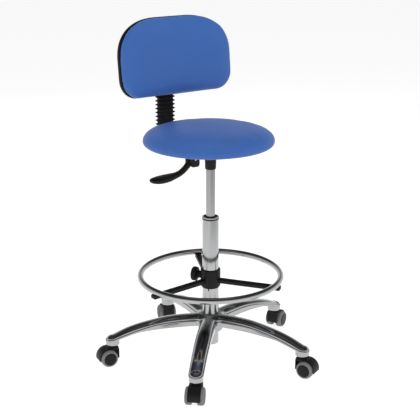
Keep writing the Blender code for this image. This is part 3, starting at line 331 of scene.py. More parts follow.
def soften(points, radius, closed=True, steps=3):
    """The outline with each corner rounded, as far as its two sides allow."""
    result = []
    count = len(points)
    for i, point in enumerate(points):
        if not closed and i in (0, count - 1):
            result.append(point)
            continue
        here = Vector(point)
        before = Vector(points[i - 1]) - here
        after = Vector(points[(i + 1) % count]) - here
        reach = min(before.length, after.length) * 0.45
        if reach < 1e-7 or before.angle(after) > math.radians(165):
            result.append(point)
            continue
        cut_back = min(radius / math.tan(before.angle(after) / 2), reach)
        start = here + before.normalized() * cut_back
        end = here + after.normalized() * cut_back
        for k in range(steps + 1):
            t = k / steps
            spot = start * (1 - t) ** 2 + here * 2 * t * (1 - t) + end * t ** 2
            result.append(tuple(spot))
    return result


def turned(
    name, profile, matrix=Matrix.Identity(4), edge=EDGE / 2, ring=False, steps=FINE, sharp=32
):
    """A profile of (radius, height) points with rounded corners, turned about Z."""
    points = soften(profile, edge, closed=ring) if edge else list(profile)
    mesh = bpy.data.meshes.new(name)
    edges = [(i, i + 1) for i in range(len(points) - 1)]
    if ring:
        edges.append((len(points) - 1, 0))
    mesh.from_pydata([(r, 0, z) for r, z in points], edges, [])
    obj = bpy.data.objects.new(name, mesh)
    bpy.context.scene.collection.objects.link(obj)
    screw = obj.modifiers.new("Screw", "SCREW")
    screw.steps = steps
    screw.render_steps = steps
    screw.use_merge_vertices = True
    screw.merge_threshold = 0.000001
    settle(obj, sharp)
    obj.data.transform(matrix)
    return obj


def plate(name, points, depth, matrix=Matrix.Identity(4), edge=EDGE, sharp=32):
    """A flat outline made solid by half its depth to either side, with its rims rounded."""
    curve = bpy.data.curves.new(name, "CURVE")
    curve.dimensions = "2D"
    curve.fill_mode = "BOTH"
    curve.extrude = depth / 2 - edge
    curve.bevel_depth = edge
    curve.bevel_resolution = 2
    curve.offset = -edge
    spline = curve.splines.new("POLY")
    spline.points.add(len(points) - 1)
    for point, (x, y) in zip(spline.points, points):
        point.co = (x, y, 0, 1)
    spline.use_cyclic_u = True
    source = bpy.data.objects.new(name + "_outline", curve)
    bpy.context.scene.collection.objects.link(source)
    bpy.context.view_layer.update()
    evaluated = source.evaluated_get(bpy.context.evaluated_depsgraph_get())
    mesh = bpy.data.meshes.new_from_object(evaluated)
    bpy.data.objects.remove(source, do_unlink=True)
    shape = bmesh.new()
    shape.from_mesh(mesh)
    bmesh.ops.remove_doubles(shape, verts=shape.verts, dist=0.000005)
    bmesh.ops.recalc_face_normals(shape, faces=shape.faces)
    shape.to_mesh(mesh)
    shape.free()
    return new_piece(name, mesh, matrix, sharp)


def block(name, low, high, matrix=Matrix.Identity(4), edge=EDGE, segments=3):
    """A box between two corners with rounded edges."""
    size = [b - a for a, b in zip(low, high)]
    centre = [(a + b) / 2 for a, b in zip(low, high)]

    def build(shape):
        place = Matrix.Translation(centre) @ Matrix.Diagonal((*size, 1))
        bmesh.ops.create_cube(shape, size=1, matrix=place)
        if edge:
            bmesh.ops.bevel(
                shape, geom=list(shape.edges), offset=edge, segments=segments, affect="EDGES",
                profile=0.5,
            )

    return drawn(name, build, matrix)


def rod(name, radius, bottom, top, matrix=Matrix.Identity(4), steps=SMALL):
    def build(shape):
        bmesh.ops.create_cone(
            shape, cap_ends=True, segments=steps, radius1=radius, radius2=radius,
            depth=top - bottom, matrix=Matrix.Translation((0, 0, (bottom + top) / 2)),
        )

    return drawn(name, build, matrix)


def loft(shape, loops, closed_ends=True):
    """Skin over a row of loops with equal numbers of points."""
    rows = [[shape.verts.new(point) for point in loop] for loop in loops]
    count = len(rows[0])
    for row, after in zip(rows, rows[1:]):
        for i in range(count):
            shape.faces.new((row[i], row[(i + 1) % count], after[(i + 1) % count], after[i]))
    if closed_ends:
        shape.faces.new(rows[0])
        shape.faces.new(reversed(rows[-1]))
    return rows


def combine(piece, others, operation, sharp=32):
    """Joins others to a piece or cuts them from it, and removes them."""
    for other in others:
        modifier = piece.modifiers.new(operation.title(), "BOOLEAN")
        modifier.operation = operation
        modifier.solver = "EXACT"
        modifier.object = other
    settle(piece, sharp)
    for other in others:
        bpy.data.objects.remove(other, do_unlink=True)
    return piece


def join(piece, *others, sharp=32):
    return combine(piece, others, "UNION", sharp)


def cut(piece, *others, sharp=32):
    return combine(piece, others, "DIFFERENCE", sharp)


def smooth_at(table, key):
    """The values of a table of rows (key, values...) at any key, on a smooth curve."""
    keys = [row[0] for row in table]
    i = min(max(bisect.bisect_right(keys, key) - 1, 0), len(keys) - 2)
    span = keys[i + 1] - keys[i]
    t = (key - keys[i]) / span
    result = []
    for column in range(1, len(table[0])):
        values = [row[column] for row in table]

        def slope(j):
            low, high = max(j - 1, 0), min(j + 1, len(keys) - 1)
            return (values[high] - values[low]) / (keys[high] - keys[low])

        a, b = values[i], values[i + 1]
        m, n = slope(i) * span, slope(i + 1) * span
        result.append(
            (2 * t ** 3 - 3 * t ** 2 + 1) * a + (t ** 3 - 2 * t ** 2 + t) * m
            + (3 * t ** 2 - 2 * t ** 3) * b + (t ** 3 - t ** 2) * n
        )
    return result


def spread(low, high, count):
    return [low + (high - low) * i / (count - 1) for i in range(count)]


def copy_of(piece, name, matrix):
    obj = bpy.data.objects.new(name, piece.data.copy())
    bpy.context.scene.collection.objects.link(obj)
    obj.matrix_world = matrix
    return obj


def hand_over(piece, finish, body, *nodes):
    """Gives a finished piece its material and its body, and hides the solids that it stands for."""
    piece.data.materials.clear()
    piece.data.materials.append(FINISHES[finish])
    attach(piece, body)
    if nodes:
        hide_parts(*nodes)
    return piece


def keep_solid(node, slot):
    """A solid that shows as it is, with its visible finish."""
    obj = frame["nodes"][node]
    obj.data.materials.clear()
    obj.data.materials.append(FINISHES[slot])


# ---- base star -------------------------------------------------------------------------------
STEM_CIRCLE = 0.307
BOSS_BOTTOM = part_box("base_star")[0].z
HUB_BOTTOM = BOSS_BOTTOM + 0.0279
HUB_RADIUS = 0.038
COLUMN_BORE = 0.0253
LEG_ROOT = 0.033
LEG_HALF_WIDTH = 0.025
LEG_TIP_HALF_WIDTH = 0.0222
LEG_WALL = 0.0045
LEG_CORNER = 0.012           # rounding in the corner between two legs
LEDGE = 0.0028
BOSS_RADIUS = 0.0212
BOSS_TOP = BOSS_BOTTOM + 0.018
HOLLOW_END = 0.272           # how far out the hollow below a leg reaches
TIP_DROP = 0.004
STEM_HOLE = 0.0058
RIB_PLACES = (0.098, 0.150, 0.200, 0.245)
CORNER_TURNS = [54 - 6 * i for i in range(9)]
DOME = (1, 0.94, 0.86, 0.76, 0.65, 0.53, 0.41, 0.30, 0.20, 0.12, 0.06, 0.02, 0)
# Height of a leg's ridge, crease and underside over the boss's foot, by share of its length.
LEG_PROFILE = (
    (0.00, 0.0799, 0.0674, 0.0489),
    (0.22, 0.0799, 0.0674, 0.0489),
    (0.38, 0.0769, 0.0659, 0.0477),
    (0.55, 0.0684, 0.0589, 0.0444),
    (0.72, 0.0584, 0.0469, 0.0384),
    (0.86, 0.0459, 0.0339, 0.0264),
    (1.00, 0.0279, 0.0199, 0.0129),
)


def leg_share(along):
    return min(1.0, max(0.0, (along - LEG_ROOT) / (STEM_CIRCLE - LEG_ROOT)))


def leg_half(along):
    return LEG_HALF_WIDTH + (LEG_TIP_HALF_WIDTH - LEG_HALF_WIDTH) * leg_share(along)


def dome_rise(share):
    """Height of the domed top from its edge, 0, to its ridge, 1."""
    return (1 - (1 - share) ** 2.2) ** (1 / 2.2)


def star_level(width, height, end):
    """One closed loop round all the legs, (corner points, all points); both callbacks take along.

    It rounds each corner between two legs and each leg's end, which is centred the given way along.
    """
    start = (LEG_HALF_WIDTH + LEG_CORNER) / math.tan(math.radians(36))
    root = width(start)
    radius = LEG_HALF_WIDTH + LEG_CORNER - root
    side = []
    for turn in CORNER_TURNS:
        a = math.radians(turn)
        along = start - radius * math.sin(a)
        side.append((LEG_HALF_WIDTH + LEG_CORNER - radius * math.cos(a), along, height(along)))
    for along in spread(start, end, 34)[1:]:
        side.append((width(along), along, height(along)))
    reach = width(end)
    for a in (9, 18, 27, 36, 45, 54, 63, 72, 81, 90):
        turn = math.radians(a)
        ahead = reach * math.sin(turn)
        drop = TIP_DROP * (ahead / LEG_TIP_HALF_WIDTH) ** 2
        side.append((reach * math.cos(turn), end + ahead, height(end) - drop))
    first = stem_place(1)
    heading = math.atan2(first.x, -first.y)
    loop, corner = [], []
    count = len(CORNER_TURNS)
    for i in range(LEGS):
        turn = Matrix.Rotation(heading + 2 * math.pi * i / LEGS, 3, "Z")
        leg = [turn @ Vector((-x, -y, z)) for x, y, z in side]
        leg += [turn @ Vector((x, -y, z)) for x, y, z in reversed(side[1:-1])]
        corner += [len(loop) + k for k in range(count)]
        corner += [len(loop) + k for k in range(len(leg) - count + 1, len(leg))]
        loop += leg
    return corner, loop


def profile_at(along):
    return [BOSS_BOTTOM + value for value in smooth_at(LEG_PROFILE, leg_share(along))]


def outer_level(inset, rise, low):
    """A level of the outside: inset is a length, or a share of the dome when it comes as a rise."""

    def width(along):
        if rise is None:
            return leg_half(along) - inset
        return (leg_half(along) - LEDGE) * (1 - rise)

    def height(along):
        ridge, crease, under = profile_at(along)
        if rise is not None:
            return crease + (ridge - crease) * dome_rise(rise)
        return crease - low if low is not None else under + max(0.0, 0.0012 - inset)

    return star_level(width, height, STEM_CIRCLE)


def inner_level(rise, depth):
    """A level of the hollow: its roof follows the dome, and its walls reach the underside."""

    def width(along):
        return (leg_half(along) - LEG_WALL) * (1 - (rise or 0.0))

    def height(along):
        ridge, crease, under = profile_at(along)
        if rise is None:
            return under + depth
        return crease - LEG_WALL * 0.9 + (ridge - crease) * dome_rise(rise)

    return star_level(width, height, HOLLOW_END)


def star_skin(shape):
    levels = [outer_level(0, rise, 0) for rise in DOME]
    for inset, below_crease in (
        (LEDGE * 0.55, 0.0004), (LEDGE * 0.2, 0.0010), (0, 0.0020), (0, 0.0060), (0, None),
        (0.0004, None), (0.0012, None),
    ):
        levels.append(outer_level(inset, None, below_crease))
    levels += [inner_level(None, 0), inner_level(None, 0.0015)]
    levels += [inner_level(rise, 0) for rise in (0, 0.1, 0.3, 0.6, 1)]
    rows = loft(shape, [loop for corners, loop in levels], closed_ends=False)
    for row, (corners, loop) in ((rows[0], levels[0]), (rows[-1], levels[-1])):
        shape.faces.new([row[i] for i in sorted(corners)])
    bmesh.ops.remove_doubles(shape, verts=shape.verts, dist=0.00002)


def build_base():
    star = drawn("base_star_cast", star_skin, sharp=40)
    bosses, holes = [], []
    hub_top = BOSS_BOTTOM + 0.070
    hub_inner = COLUMN_BORE - 0.004          # the bore is cut through it below
    hub = turned(
        "hub",
        [
            (HUB_RADIUS, hub_top), (HUB_RADIUS, HUB_BOTTOM), (hub_inner, HUB_BOTTOM),
            (hub_inner, hub_top),
        ],
        edge=0.003, ring=True,
    )
    boss = turned(
        "boss",
        [(0, BOSS_TOP), (BOSS_RADIUS, BOSS_TOP), (BOSS_RADIUS, BOSS_BOTTOM), (0, BOSS_BOTTOM)],
        edge=0.0012, steps=64,
    )
    hole = rod("hole", STEM_HOLE, BOSS_BOTTOM - 0.004, BOSS_BOTTOM + 0.0173, steps=32)
    ribs = []
    for number in range(1, LEGS + 1):
        spot = stem_place(number)
        turn = Matrix.Rotation(math.atan2(spot.x, -spot.y), 4, "Z")
        bosses.append(copy_of(boss, f"boss_{number}", Matrix.Translation(spot)))
        holes.append(copy_of(hole, f"hole_{number}", Matrix.Translation(spot)))
        for i, along in enumerate(RIB_PLACES):
            _, crease, under = profile_at(along)
            half = leg_half(along) - LEG_WALL / 2
            ribs.append(
                block(
                    f"rib_{number}_{i}", (-half, -along - 0.0015, under + 0.003),
                    (half, -along + 0.0015, crease - 0.0005), turn, edge=0,
                )
            )
    join(star, hub, *bosses, *ribs, sharp=40)
    cut(star, rod("bore", COLUMN_BORE, 0.02, 0.3, steps=FINE), *holes, sharp=40)
    for pattern in (boss, hole):
        bpy.data.objects.remove(pattern, do_unlink=True)
    star.matrix_world = AXIS
    hand_over(star, "polished_aluminium", "base", "base_star")


def stem_place(number):
    """A caster's stem, seen from the column's axis."""
    spot = Vector(JOINTS[f"caster_{number}_swivel"]["pos_m"]) - AXIS.translation
    return Vector((spot.x, spot.y, 0))


# ---- casters ---------------------------------------------------------------------------------
TRAIL = (
    Vector(JOINTS["caster_1_left_roll"]["pos_m"]).xy - Vector(JOINTS["caster_1_swivel"]["pos_m"]).xy
).length
WHEEL_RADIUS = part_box("caster_1_wheel_left")[1].z / 2
AXLE_HOLE = 0.0043
WEB_HALF = 0.0085
WHEEL_INNER = 0.0091
WHEEL_OUTER = 0.0281
HOOD_WIDTH = 0.038
HOOD_WALL = 0.0025
HOOD_INNER = WHEEL_RADIUS + 0.0017
HOOD_BACK = 0.014
HOOD_FOOT = WHEEL_RADIUS - 0.0045
HOOD_SWEEP = 12
NECK_RADIUS = 0.012
NECK_TOP = BOSS_BOTTOM - 0.0036
HUBCAP_RADIUS = 0.0196
RIBS = 8


def hood_outline():
    outer = HOOD_INNER + HOOD_WALL
    centre = (TRAIL, WHEEL_RADIUS)
    back = -HOOD_BACK
    corner = HOOD_WALL * 2
    outside = arc(centre, outer, -HOOD_SWEEP, 90, 30)
    outside += arc((back + corner, WHEEL_RADIUS + outer - corner), corner, 90, 180, 8)
    outside += [(back, HOOD_FOOT), (back + HOOD_WALL, HOOD_FOOT)]
    inside = arc((back + corner, WHEEL_RADIUS + outer - corner), corner - HOOD_WALL, 180, 90, 6)
    inside += arc(centre, HOOD_INNER, 90, -HOOD_SWEEP, 30)
    return outside + inside


def web_outline():
    """Side view of the plate between the wheels; its upper edge lies inside the shell."""
    radius = HOOD_INNER + HOOD_WALL / 2
    centre = (TRAIL, WHEEL_RADIUS)
    back = -HOOD_BACK + HOOD_WALL / 2
    points = arc(centre, radius, -HOOD_SWEEP + 3, 90, 20)
    points += [(back, WHEEL_RADIUS + radius), (back, HOOD_FOOT + 0.002)]
    return points + arc(centre, 0.0095, 220, 320, 12)


def hood_pattern():
    """A caster's hood about its stem, trailing towards +X."""
    upright = facing(1, 0, 0)
    hood = plate("hood", hood_outline(), HOOD_WIDTH, upright, edge=0.0009)
    web = plate("web", web_outline(), WEB_HALF * 2, upright, edge=0.0008)
    top = WHEEL_RADIUS + HOOD_INNER + HOOD_WALL
    shoulder = block(
        "shoulder", (-HOOD_BACK + 0.0005, -HOOD_WIDTH / 2 + 0.0012, top - 0.0075),
        (0.0125, HOOD_WIDTH / 2 - 0.0012, top + 0.0030), edge=0.0022,
    )
    neck = turned(
        "neck",
        [
            (0, NECK_TOP), (NECK_RADIUS, NECK_TOP), (NECK_RADIUS + 0.001, top - 0.001),
            (0, top - 0.001),
        ],
        edge=0.0008, steps=SMALL,
    )
    axle_place = Matrix.Translation((TRAIL, 0, WHEEL_RADIUS)) @ upright
    wheels = rod("wheel_room", HOOD_INNER, -0.03, 0.03, axle_place)
    cut(shoulder, wheels)
    ribs = []
    for i, y in enumerate(spread(-HOOD_WIDTH / 2 + 0.004, HOOD_WIDTH / 2 - 0.004, RIBS)):
        ribs.append(
            block(
                f"rib_{i}", (-HOOD_BACK - 0.0008, y - 0.0008, HOOD_FOOT + 0.002),
                (-HOOD_BACK + 0.001, y + 0.0008, top - 0.007), edge=0.0004, segments=2,
            )
        )
    join(hood, web, shoulder, neck, *ribs)
    cut(
        hood,
        rod("stem_hole", 0.0058, BOSS_BOTTOM - 0.0178, NECK_TOP + 0.004, steps=32),
        rod("axle_hole", AXLE_HOLE, -0.02, 0.02, axle_place, steps=32),
    )
    return hood


def tread_pattern():
    """A wheel's tread and domed side wall, axis up and outer face on top."""
    groove = 0.0006
    mid = WHEEL_INNER + 0.0075
    rim = HUBCAP_RADIUS + 0.0002
    profile = [(rim - 0.0006, WHEEL_OUTER - 0.004), (rim, WHEEL_OUTER - 0.0007)]
    for turn in range(0, 91, 9):
        a = math.radians(turn)
        profile.append(
            (
                rim + 0.0008 + (WHEEL_RADIUS - rim - 0.0008) * math.sin(a) ** 0.9,
                WHEEL_OUTER - 0.0084 * (1 - math.cos(a) ** 0.9),
            )
        )
    for height in (mid + 0.0022, mid - 0.0022):
        profile += [
            (WHEEL_RADIUS, height + 0.0008),
            (WHEEL_RADIUS - groove, height + 0.0005),
            (WHEEL_RADIUS - groove, height - 0.0005),
            (WHEEL_RADIUS, height - 0.0008),
        ]
    profile += [
        (WHEEL_RADIUS, WHEEL_INNER + 0.0015),
        (WHEEL_RADIUS - 0.0015, WHEEL_INNER),
        (AXLE_HOLE, WHEEL_INNER),
        (AXLE_HOLE, WHEEL_OUTER - 0.006),
    ]
    return turned("tread", profile, edge=0.0002, ring=True, steps=72)


def hubcap_pattern():
    """The black disc in the wheel's outer face: a low dome with a fine step near its rim."""
    top = WHEEL_OUTER
    profile = [
        (0, top + 0.0006),
        (0.0060, top + 0.0005),
        (0.0120, top + 0.0002),
        (0.0158, top - 0.0001),
        (0.0164, top - 0.0005),
        (0.0176, top - 0.0005),
        (0.0182, top - 0.0003),
        (HUBCAP_RADIUS - 0.0002, top - 0.0010),
        (HUBCAP_RADIUS - 0.0002, top - 0.0050),
        (0, top - 0.0050),
    ]
    return turned("hubcap", profile, edge=0.0003, steps=72)


def build_casters():
    hood = hood_pattern()
    tread = tread_pattern()
    hubcap = hubcap_pattern()
    shoulder = BOSS_BOTTOM - GAP
    stem = turned(
        "stem",
        [
            (0, BOSS_BOTTOM + 0.017), (0.0055, BOSS_BOTTOM + 0.017), (0.0055, shoulder),
            (0.011, shoulder),
            (0.011, shoulder - 0.003), (0.0055, shoulder - 0.003), (0.0055, shoulder - 0.017),
            (0, shoulder - 0.017),
        ],
        edge=0.0004, steps=SMALL,
    )
    axle_half = WHEEL_OUTER - 0.0063
    axle = turned(
        "axle", [(0, axle_half), (0.004, axle_half), (0.004, -axle_half), (0, -axle_half)],
        edge=0.0005, steps=32,
    )
    for number in range(1, LEGS + 1):
        spot = Vector(JOINTS[f"caster_{number}_swivel"]["pos_m"])
        trail = Vector(JOINTS[f"caster_{number}_left_roll"]["pos_m"]) - spot
        turn = Matrix.Rotation(math.atan2(trail.y, trail.x), 4, "Z")
        place = Matrix.Translation((spot.x, spot.y, 0)) @ turn
        name = f"caster_{number}"
        hand_over(copy_of(hood, name + "_cover", place), "black_plastic", name, name + "_hood")
        hand_over(copy_of(stem, name + "_swivel_stem", place), "zinc_steel", "base", name + "_stem")
        axle_place = place @ Matrix.Translation((TRAIL, 0, WHEEL_RADIUS))
        hand_over(
            copy_of(axle, name + "_cross_axle", axle_place @ facing(1, 0, 0)), "zinc_steel", name,
            name + "_axle",
        )
        for side, quarters in wheel_sides(number, trail):
            wheel_place = axle_place @ facing(quarters, 0, 0)
            body = f"{name}_{side}_wheel"
            hand_over(
                copy_of(tread, f"{name}_tread_{side}", wheel_place), "grey_tread", body,
                f"{name}_wheel_{side}",
            )
            hand_over(copy_of(hubcap, f"{name}_hubcap_{side}", wheel_place), "gloss_plastic", body)
    for pattern in (hood, tread, hubcap, stem, axle):
        bpy.data.objects.remove(pattern, do_unlink=True)


def wheel_sides(number, trail):
    """(side, quarter turns that face its wheel outward), by where each wheel's solid stands."""
    low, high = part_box(f"caster_{number}_wheel_left")
    centre = Vector(JOINTS[f"caster_{number}_left_roll"]["pos_m"])
    left_of_trail = Vector((-trail.y, trail.x, 0))
    stands_left = ((low + high) / 2 - centre).dot(left_of_trail) > 0
    return (("left", -1), ("right", 1)) if stands_left else (("left", 1), ("right", -1))


# ---- column and gas spring -------------------------------------------------------------------
COLUMN_OUTER = 0.025
COLUMN_INNER = 0.0235
COLUMN_FLOOR = 0.003
FLOOR_HOLE = 0.0045
TUBE_RAISE = 0.0014          # how far the tube is drawn up into the ring round its mouth
FLANGE_RADIUS = 0.026
BARREL_RADIUS = 0.014
BARREL_BORE = 0.0128
BARREL_END = 0.013           # length of the plugs in the barrel's ends
SOCKET_BORE = 0.0143


def heights(node):
    """Lowest and highest point of a node."""
    low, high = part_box(node)
    return low.z, high.z


def sleeve(name, node, slot, body, profile, edge=EDGE / 2):
    """A turned ring on the column's axis; profile(low, high) draws it between the node's ends."""
    piece = turned(name, profile(*heights(node)), ring=True, edge=edge)
    piece.matrix_world = AXIS
    return hand_over(piece, slot, body, node)


def build_column():
    sleeve(
        "column_outer_tube", "column_tube", "chrome", "base",
        lambda low, high: [
            (COLUMN_OUTER, high + TUBE_RAISE), (COLUMN_OUTER, low), (FLOOR_HOLE, low),
            (FLOOR_HOLE, low + COLUMN_FLOOR), (COLUMN_INNER, low + COLUMN_FLOOR),
            (COLUMN_INNER, high + TUBE_RAISE),
        ],
    )
    sleeve(
        "column_mouth_bush", "column_guide_bush", "black_plastic", "base",
        lambda low, high: [
            (0.0212, high), (0.0212, high - 0.0021), (FLANGE_RADIUS, high - 0.0021),
            (FLANGE_RADIUS, high - 0.0052), (COLUMN_INNER - GAP, high - 0.0052),
            (COLUMN_INNER - GAP, low), (SOCKET_BORE, low), (SOCKET_BORE, high),
        ],
    )
    sleeve(
        "column_mouth_ring", "column_cap", "chrome", "base",
        lambda low, high: [
            (FLANGE_RADIUS, high), (FLANGE_RADIUS, low), (0.0215, low), (0.0215, high),
        ],
        edge=0.0015,
    )
    sleeve(
        "gas_spring_barrel", "gas_spring_tube", "gas_chrome", "seat",
        lambda low, high: [
            (BARREL_RADIUS, high), (BARREL_RADIUS, low), (0.0053, low), (0.0053, low + BARREL_END),
            (BARREL_BORE, low + BARREL_END), (BARREL_BORE, high - BARREL_END),
            (0.0025, high - BARREL_END), (0.0025, high),
        ],
    )
    sleeve(
        "seat_taper_socket", "taper_socket", "black_plastic", "seat",
        lambda low, high: [
            (0.0185, high), (0.0176, high - 0.028), (0.0166, low + 0.0025), (0.0157, low),
            (SOCKET_BORE, low), (SOCKET_BORE, high),
        ],
    )
    for node, slot in (
        ("thrust_bearing", "zinc_steel"), ("piston_rod", "bright_steel"),
        ("valve_pin", "bright_steel"), ("retaining_clip", "zinc_steel"),
    ):
        keep_solid(node, slot)


# ---- foot ring -------------------------------------------------------------------------------
RING_RADIUS = 0.2155
RING_TUBE = 0.0095
RING_HEIGHT = sum(point.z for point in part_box("foot_ring")) / 2
SPOKE_TOP = RING_HEIGHT - 0.0098
SPOKE_HEIGHT = 0.012
SPOKE_WIDTH = 0.021
SPOKE_END = 0.2235
FIRST_SPOKE = -84.0
SLEEVE_INNER = 0.0268
SLEEVE_OUTER = 0.0305
SLEEVE_TOP = RING_HEIGHT + 0.020
SLEEVE_BOTTOM = RING_HEIGHT - 0.037
LINER_OUTER = 0.0265
LINER_INNER = 0.0253
RING_KNOB = (0.0225, 0.018)  # radius and thickness
BACK_KNOB = (0.020, 0.016)


def torus(radius, tube, around, across):
    def build(shape):
        rows = []
        for i in range(around):
            a = 2 * math.pi * i / around
            row = []
            for j in range(across):
                b = 2 * math.pi * j / across
                r = radius + tube * math.cos(b)
                row.append(shape.verts.new((r * math.cos(a), r * math.sin(a), tube * math.sin(b))))
            rows.append(row)
        for i in range(around):
            row, after = rows[i], rows[(i + 1) % around]
            for j in range(across):
                k = (j + 1) % across
                shape.faces.new((row[j], after[j], after[k], row[k]))

    return build


def build_foot_ring():
    ring = drawn(
        "foot_ring_tube", torus(RING_RADIUS, RING_TUBE, 240, 32),
        AXIS @ Matrix.Translation((0, 0, RING_HEIGHT)), sharp=60,
    )
    hand_over(ring, "chrome", "foot_ring", "foot_ring")
    knob_turn = clamp_knob_place()
    build_spider(knob_turn)
    build_liner()
    for number in range(1, 4):
        build_ring_screw(number)
    knob = clamp_knob(
        "foot_ring_clamp_knob", *RING_KNOB, 0.042, SLEEVE_INNER, AXIS @ knob_turn
    )
    hand_over(knob, "black_plastic", "foot_ring_knob", "foot_ring_knob")


def build_spider(knob_turn):
    """The sleeve with its three arms and the boss for the clamp knob."""
    spider = turned(
        "foot_ring_cast_spider",
        [
            (SLEEVE_OUTER, SLEEVE_TOP), (SLEEVE_OUTER, SLEEVE_BOTTOM + 0.004),
            (SLEEVE_OUTER - 0.003, SLEEVE_BOTTOM), (SLEEVE_INNER, SLEEVE_BOTTOM),
            (SLEEVE_INNER, SLEEVE_TOP),
        ],
        edge=0.0016, ring=True,
    )
    start = (SLEEVE_INNER + SLEEVE_OUTER) / 2
    arms = []
    for i in range(3):
        turn = Matrix.Rotation(math.radians(FIRST_SPOKE + 120 * i), 4, "Z")
        arms.append(
            block(
                f"arm_{i}", (-SPOKE_WIDTH / 2, -SPOKE_END, SPOKE_TOP - SPOKE_HEIGHT),
                (SPOKE_WIDTH / 2, -start, SPOKE_TOP), turn, edge=0.0022,
            )
        )
        arms.append(
            block(
                f"rib_{i}", (-0.0035, -0.190, SPOKE_TOP - 0.004),
                (0.0035, -start, SPOKE_TOP + 0.0028), turn, edge=0.0014,
            )
        )
    boss = turned(
        "boss", [(0, 0.0412), (0.011, 0.0412), (0.0118, start), (0, start)], knob_turn, edge=0.001,
        steps=SMALL,
    )
    join(spider, *arms, boss)
    cut(spider, rod("stud_hole", STUD_HOLE, 0.020, 0.05, knob_turn, steps=32))
    spider.matrix_world = AXIS
    hand_over(spider, "black_plastic", "foot_ring", "foot_ring_spider")


def build_liner():
    top = SLEEVE_TOP + 0.0015
    bottom = SLEEVE_BOTTOM - 0.0015
    liner = turned(
        "foot_ring_sliding_liner",
        [(LINER_OUTER, top), (LINER_OUTER, bottom), (LINER_INNER, bottom), (LINER_INNER, top)],
        edge=0.0004, ring=True,
    )
    tab = block(
        "liner_tab", (-0.0015, -LINER_OUTER + 0.0001, SLEEVE_BOTTOM - 0.0085),
        (0.0015, -LINER_INNER - 0.0001, SLEEVE_BOTTOM + 0.0025),
        Matrix.Rotation(math.radians(-48), 4, "Z"), edge=0.0003, segments=1,
    )
    join(liner, tab)
    liner.matrix_world = AXIS
    hand_over(liner, "black_plastic", "ring_liner", "foot_ring_liner")


def build_ring_screw(number):
    """A pan-head screw from below, with a hexagon socket."""
    node = f"foot_ring_screw_{number}"
    low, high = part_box(node)
    place = over(node)
    neck = SPOKE_TOP - SPOKE_HEIGHT - GAP
    screw = turned(
        f"foot_ring_pan_screw_{number}",
        [
            (0, high.z), (0.0025, high.z), (0.0025, neck), (0.005, neck), (0.0047, neck - 0.0018),
            (0.0036, low.z), (0, low.z),
        ],
        place, edge=0.0003, steps=32,
    )
    cut(screw, rod("socket", 0.0017, low.z - 0.002, low.z + 0.0016, place, steps=6))
    hand_over(screw, "bright_steel", "foot_ring", node)


def clamp_knob_place():
    """The clamp knob's frame from the column's axis: Z points out along its stud."""
    joint = JOINTS["foot_ring_knob_turn"]
    turn = Vector(joint["axis"]).to_track_quat("Z", "Y").to_matrix().to_4x4()
    return Matrix.Translation((0, 0, joint["pos_m"][2])) @ turn


def clamp_knob(name, radius, thickness, inner, tip, place, lobes=14):
    """A knurled knob with rounded flutes, a dished face and its steel stud."""
    segments = lobes * 8
    rows = (
        (inner, 0.80, 0.0), (inner + thickness * 0.06, 0.90, 0.5),
        (inner + thickness * 0.16, 0.97, 1.0),
        (inner + thickness * 0.70, 0.985, 1.0), (inner + thickness * 0.84, 0.955, 0.9),
        (inner + thickness * 0.94, 0.88, 0.4), (inner + thickness * 0.99, 0.78, 0.0),
        (inner + thickness, 0.66, 0.0), (inner + thickness * 0.96, 0.56, 0.0),
        (inner + thickness * 0.90, 0.46, 0.0), (inner + thickness * 0.885, 0.20, 0.0),
    )

    def build(shape):
        loops = []
        for height, share, depth in rows:
            loop = []
            for i in range(segments):
                a = 2 * math.pi * i / segments
                flute = 0.055 * depth * (0.5 - 0.5 * math.cos(lobes * a)) ** 1.6
                r = radius * (share - flute)
                loop.append((r * math.cos(a), r * math.sin(a), height))
            loops.append(loop)
        loft(shape, loops)

    knob = drawn(name, build, place, sharp=50)
    stud = turned(
        name + "_stud", [(0, inner + 0.004), (0.004, inner + 0.004), (0.004, tip), (0, tip)], place,
        edge=0.0005, steps=32,
    )
    return join(knob, stud, sharp=50)


# ---- seat ------------------------------------------------------------------------------------
SEAT_BOTTOM, SEAT_TOP = heights("seat_cushion")
# Radius and height over the cushion's underside, from the middle of its top round to its underside.
SEAT_PROFILE = (
    (0.000, 0.0565), (0.060, 0.0563), (0.100, 0.0555), (0.130, 0.0541), (0.150, 0.0523),
    (0.166, 0.0490), (0.179, 0.0437), (0.188, 0.0366), (0.194, 0.0285), (0.1965, 0.0205),
    (0.1962, 0.0140), (0.1940, 0.0085), (0.1895, 0.0050), (0.1830, 0.0032), (0.1740, 0.0026),
    (0.1620, 0.0024), (0.1580, 0.0001), (0.000, 0.0001),
)
SEAT_RADIUS = max(radius for radius, height in SEAT_PROFILE)
BOARD_RADIUS = 0.160
PLATE_CORNER = 0.018
SEAT_SPREAD = 0.0012         # the cover starts wider and lower, and the pressure takes that up
SEAT_SLACK = 0.0016
SIM_VOXEL = 0.005
SIM_FRAMES = 20
SIM_PRESSURE = 4.0


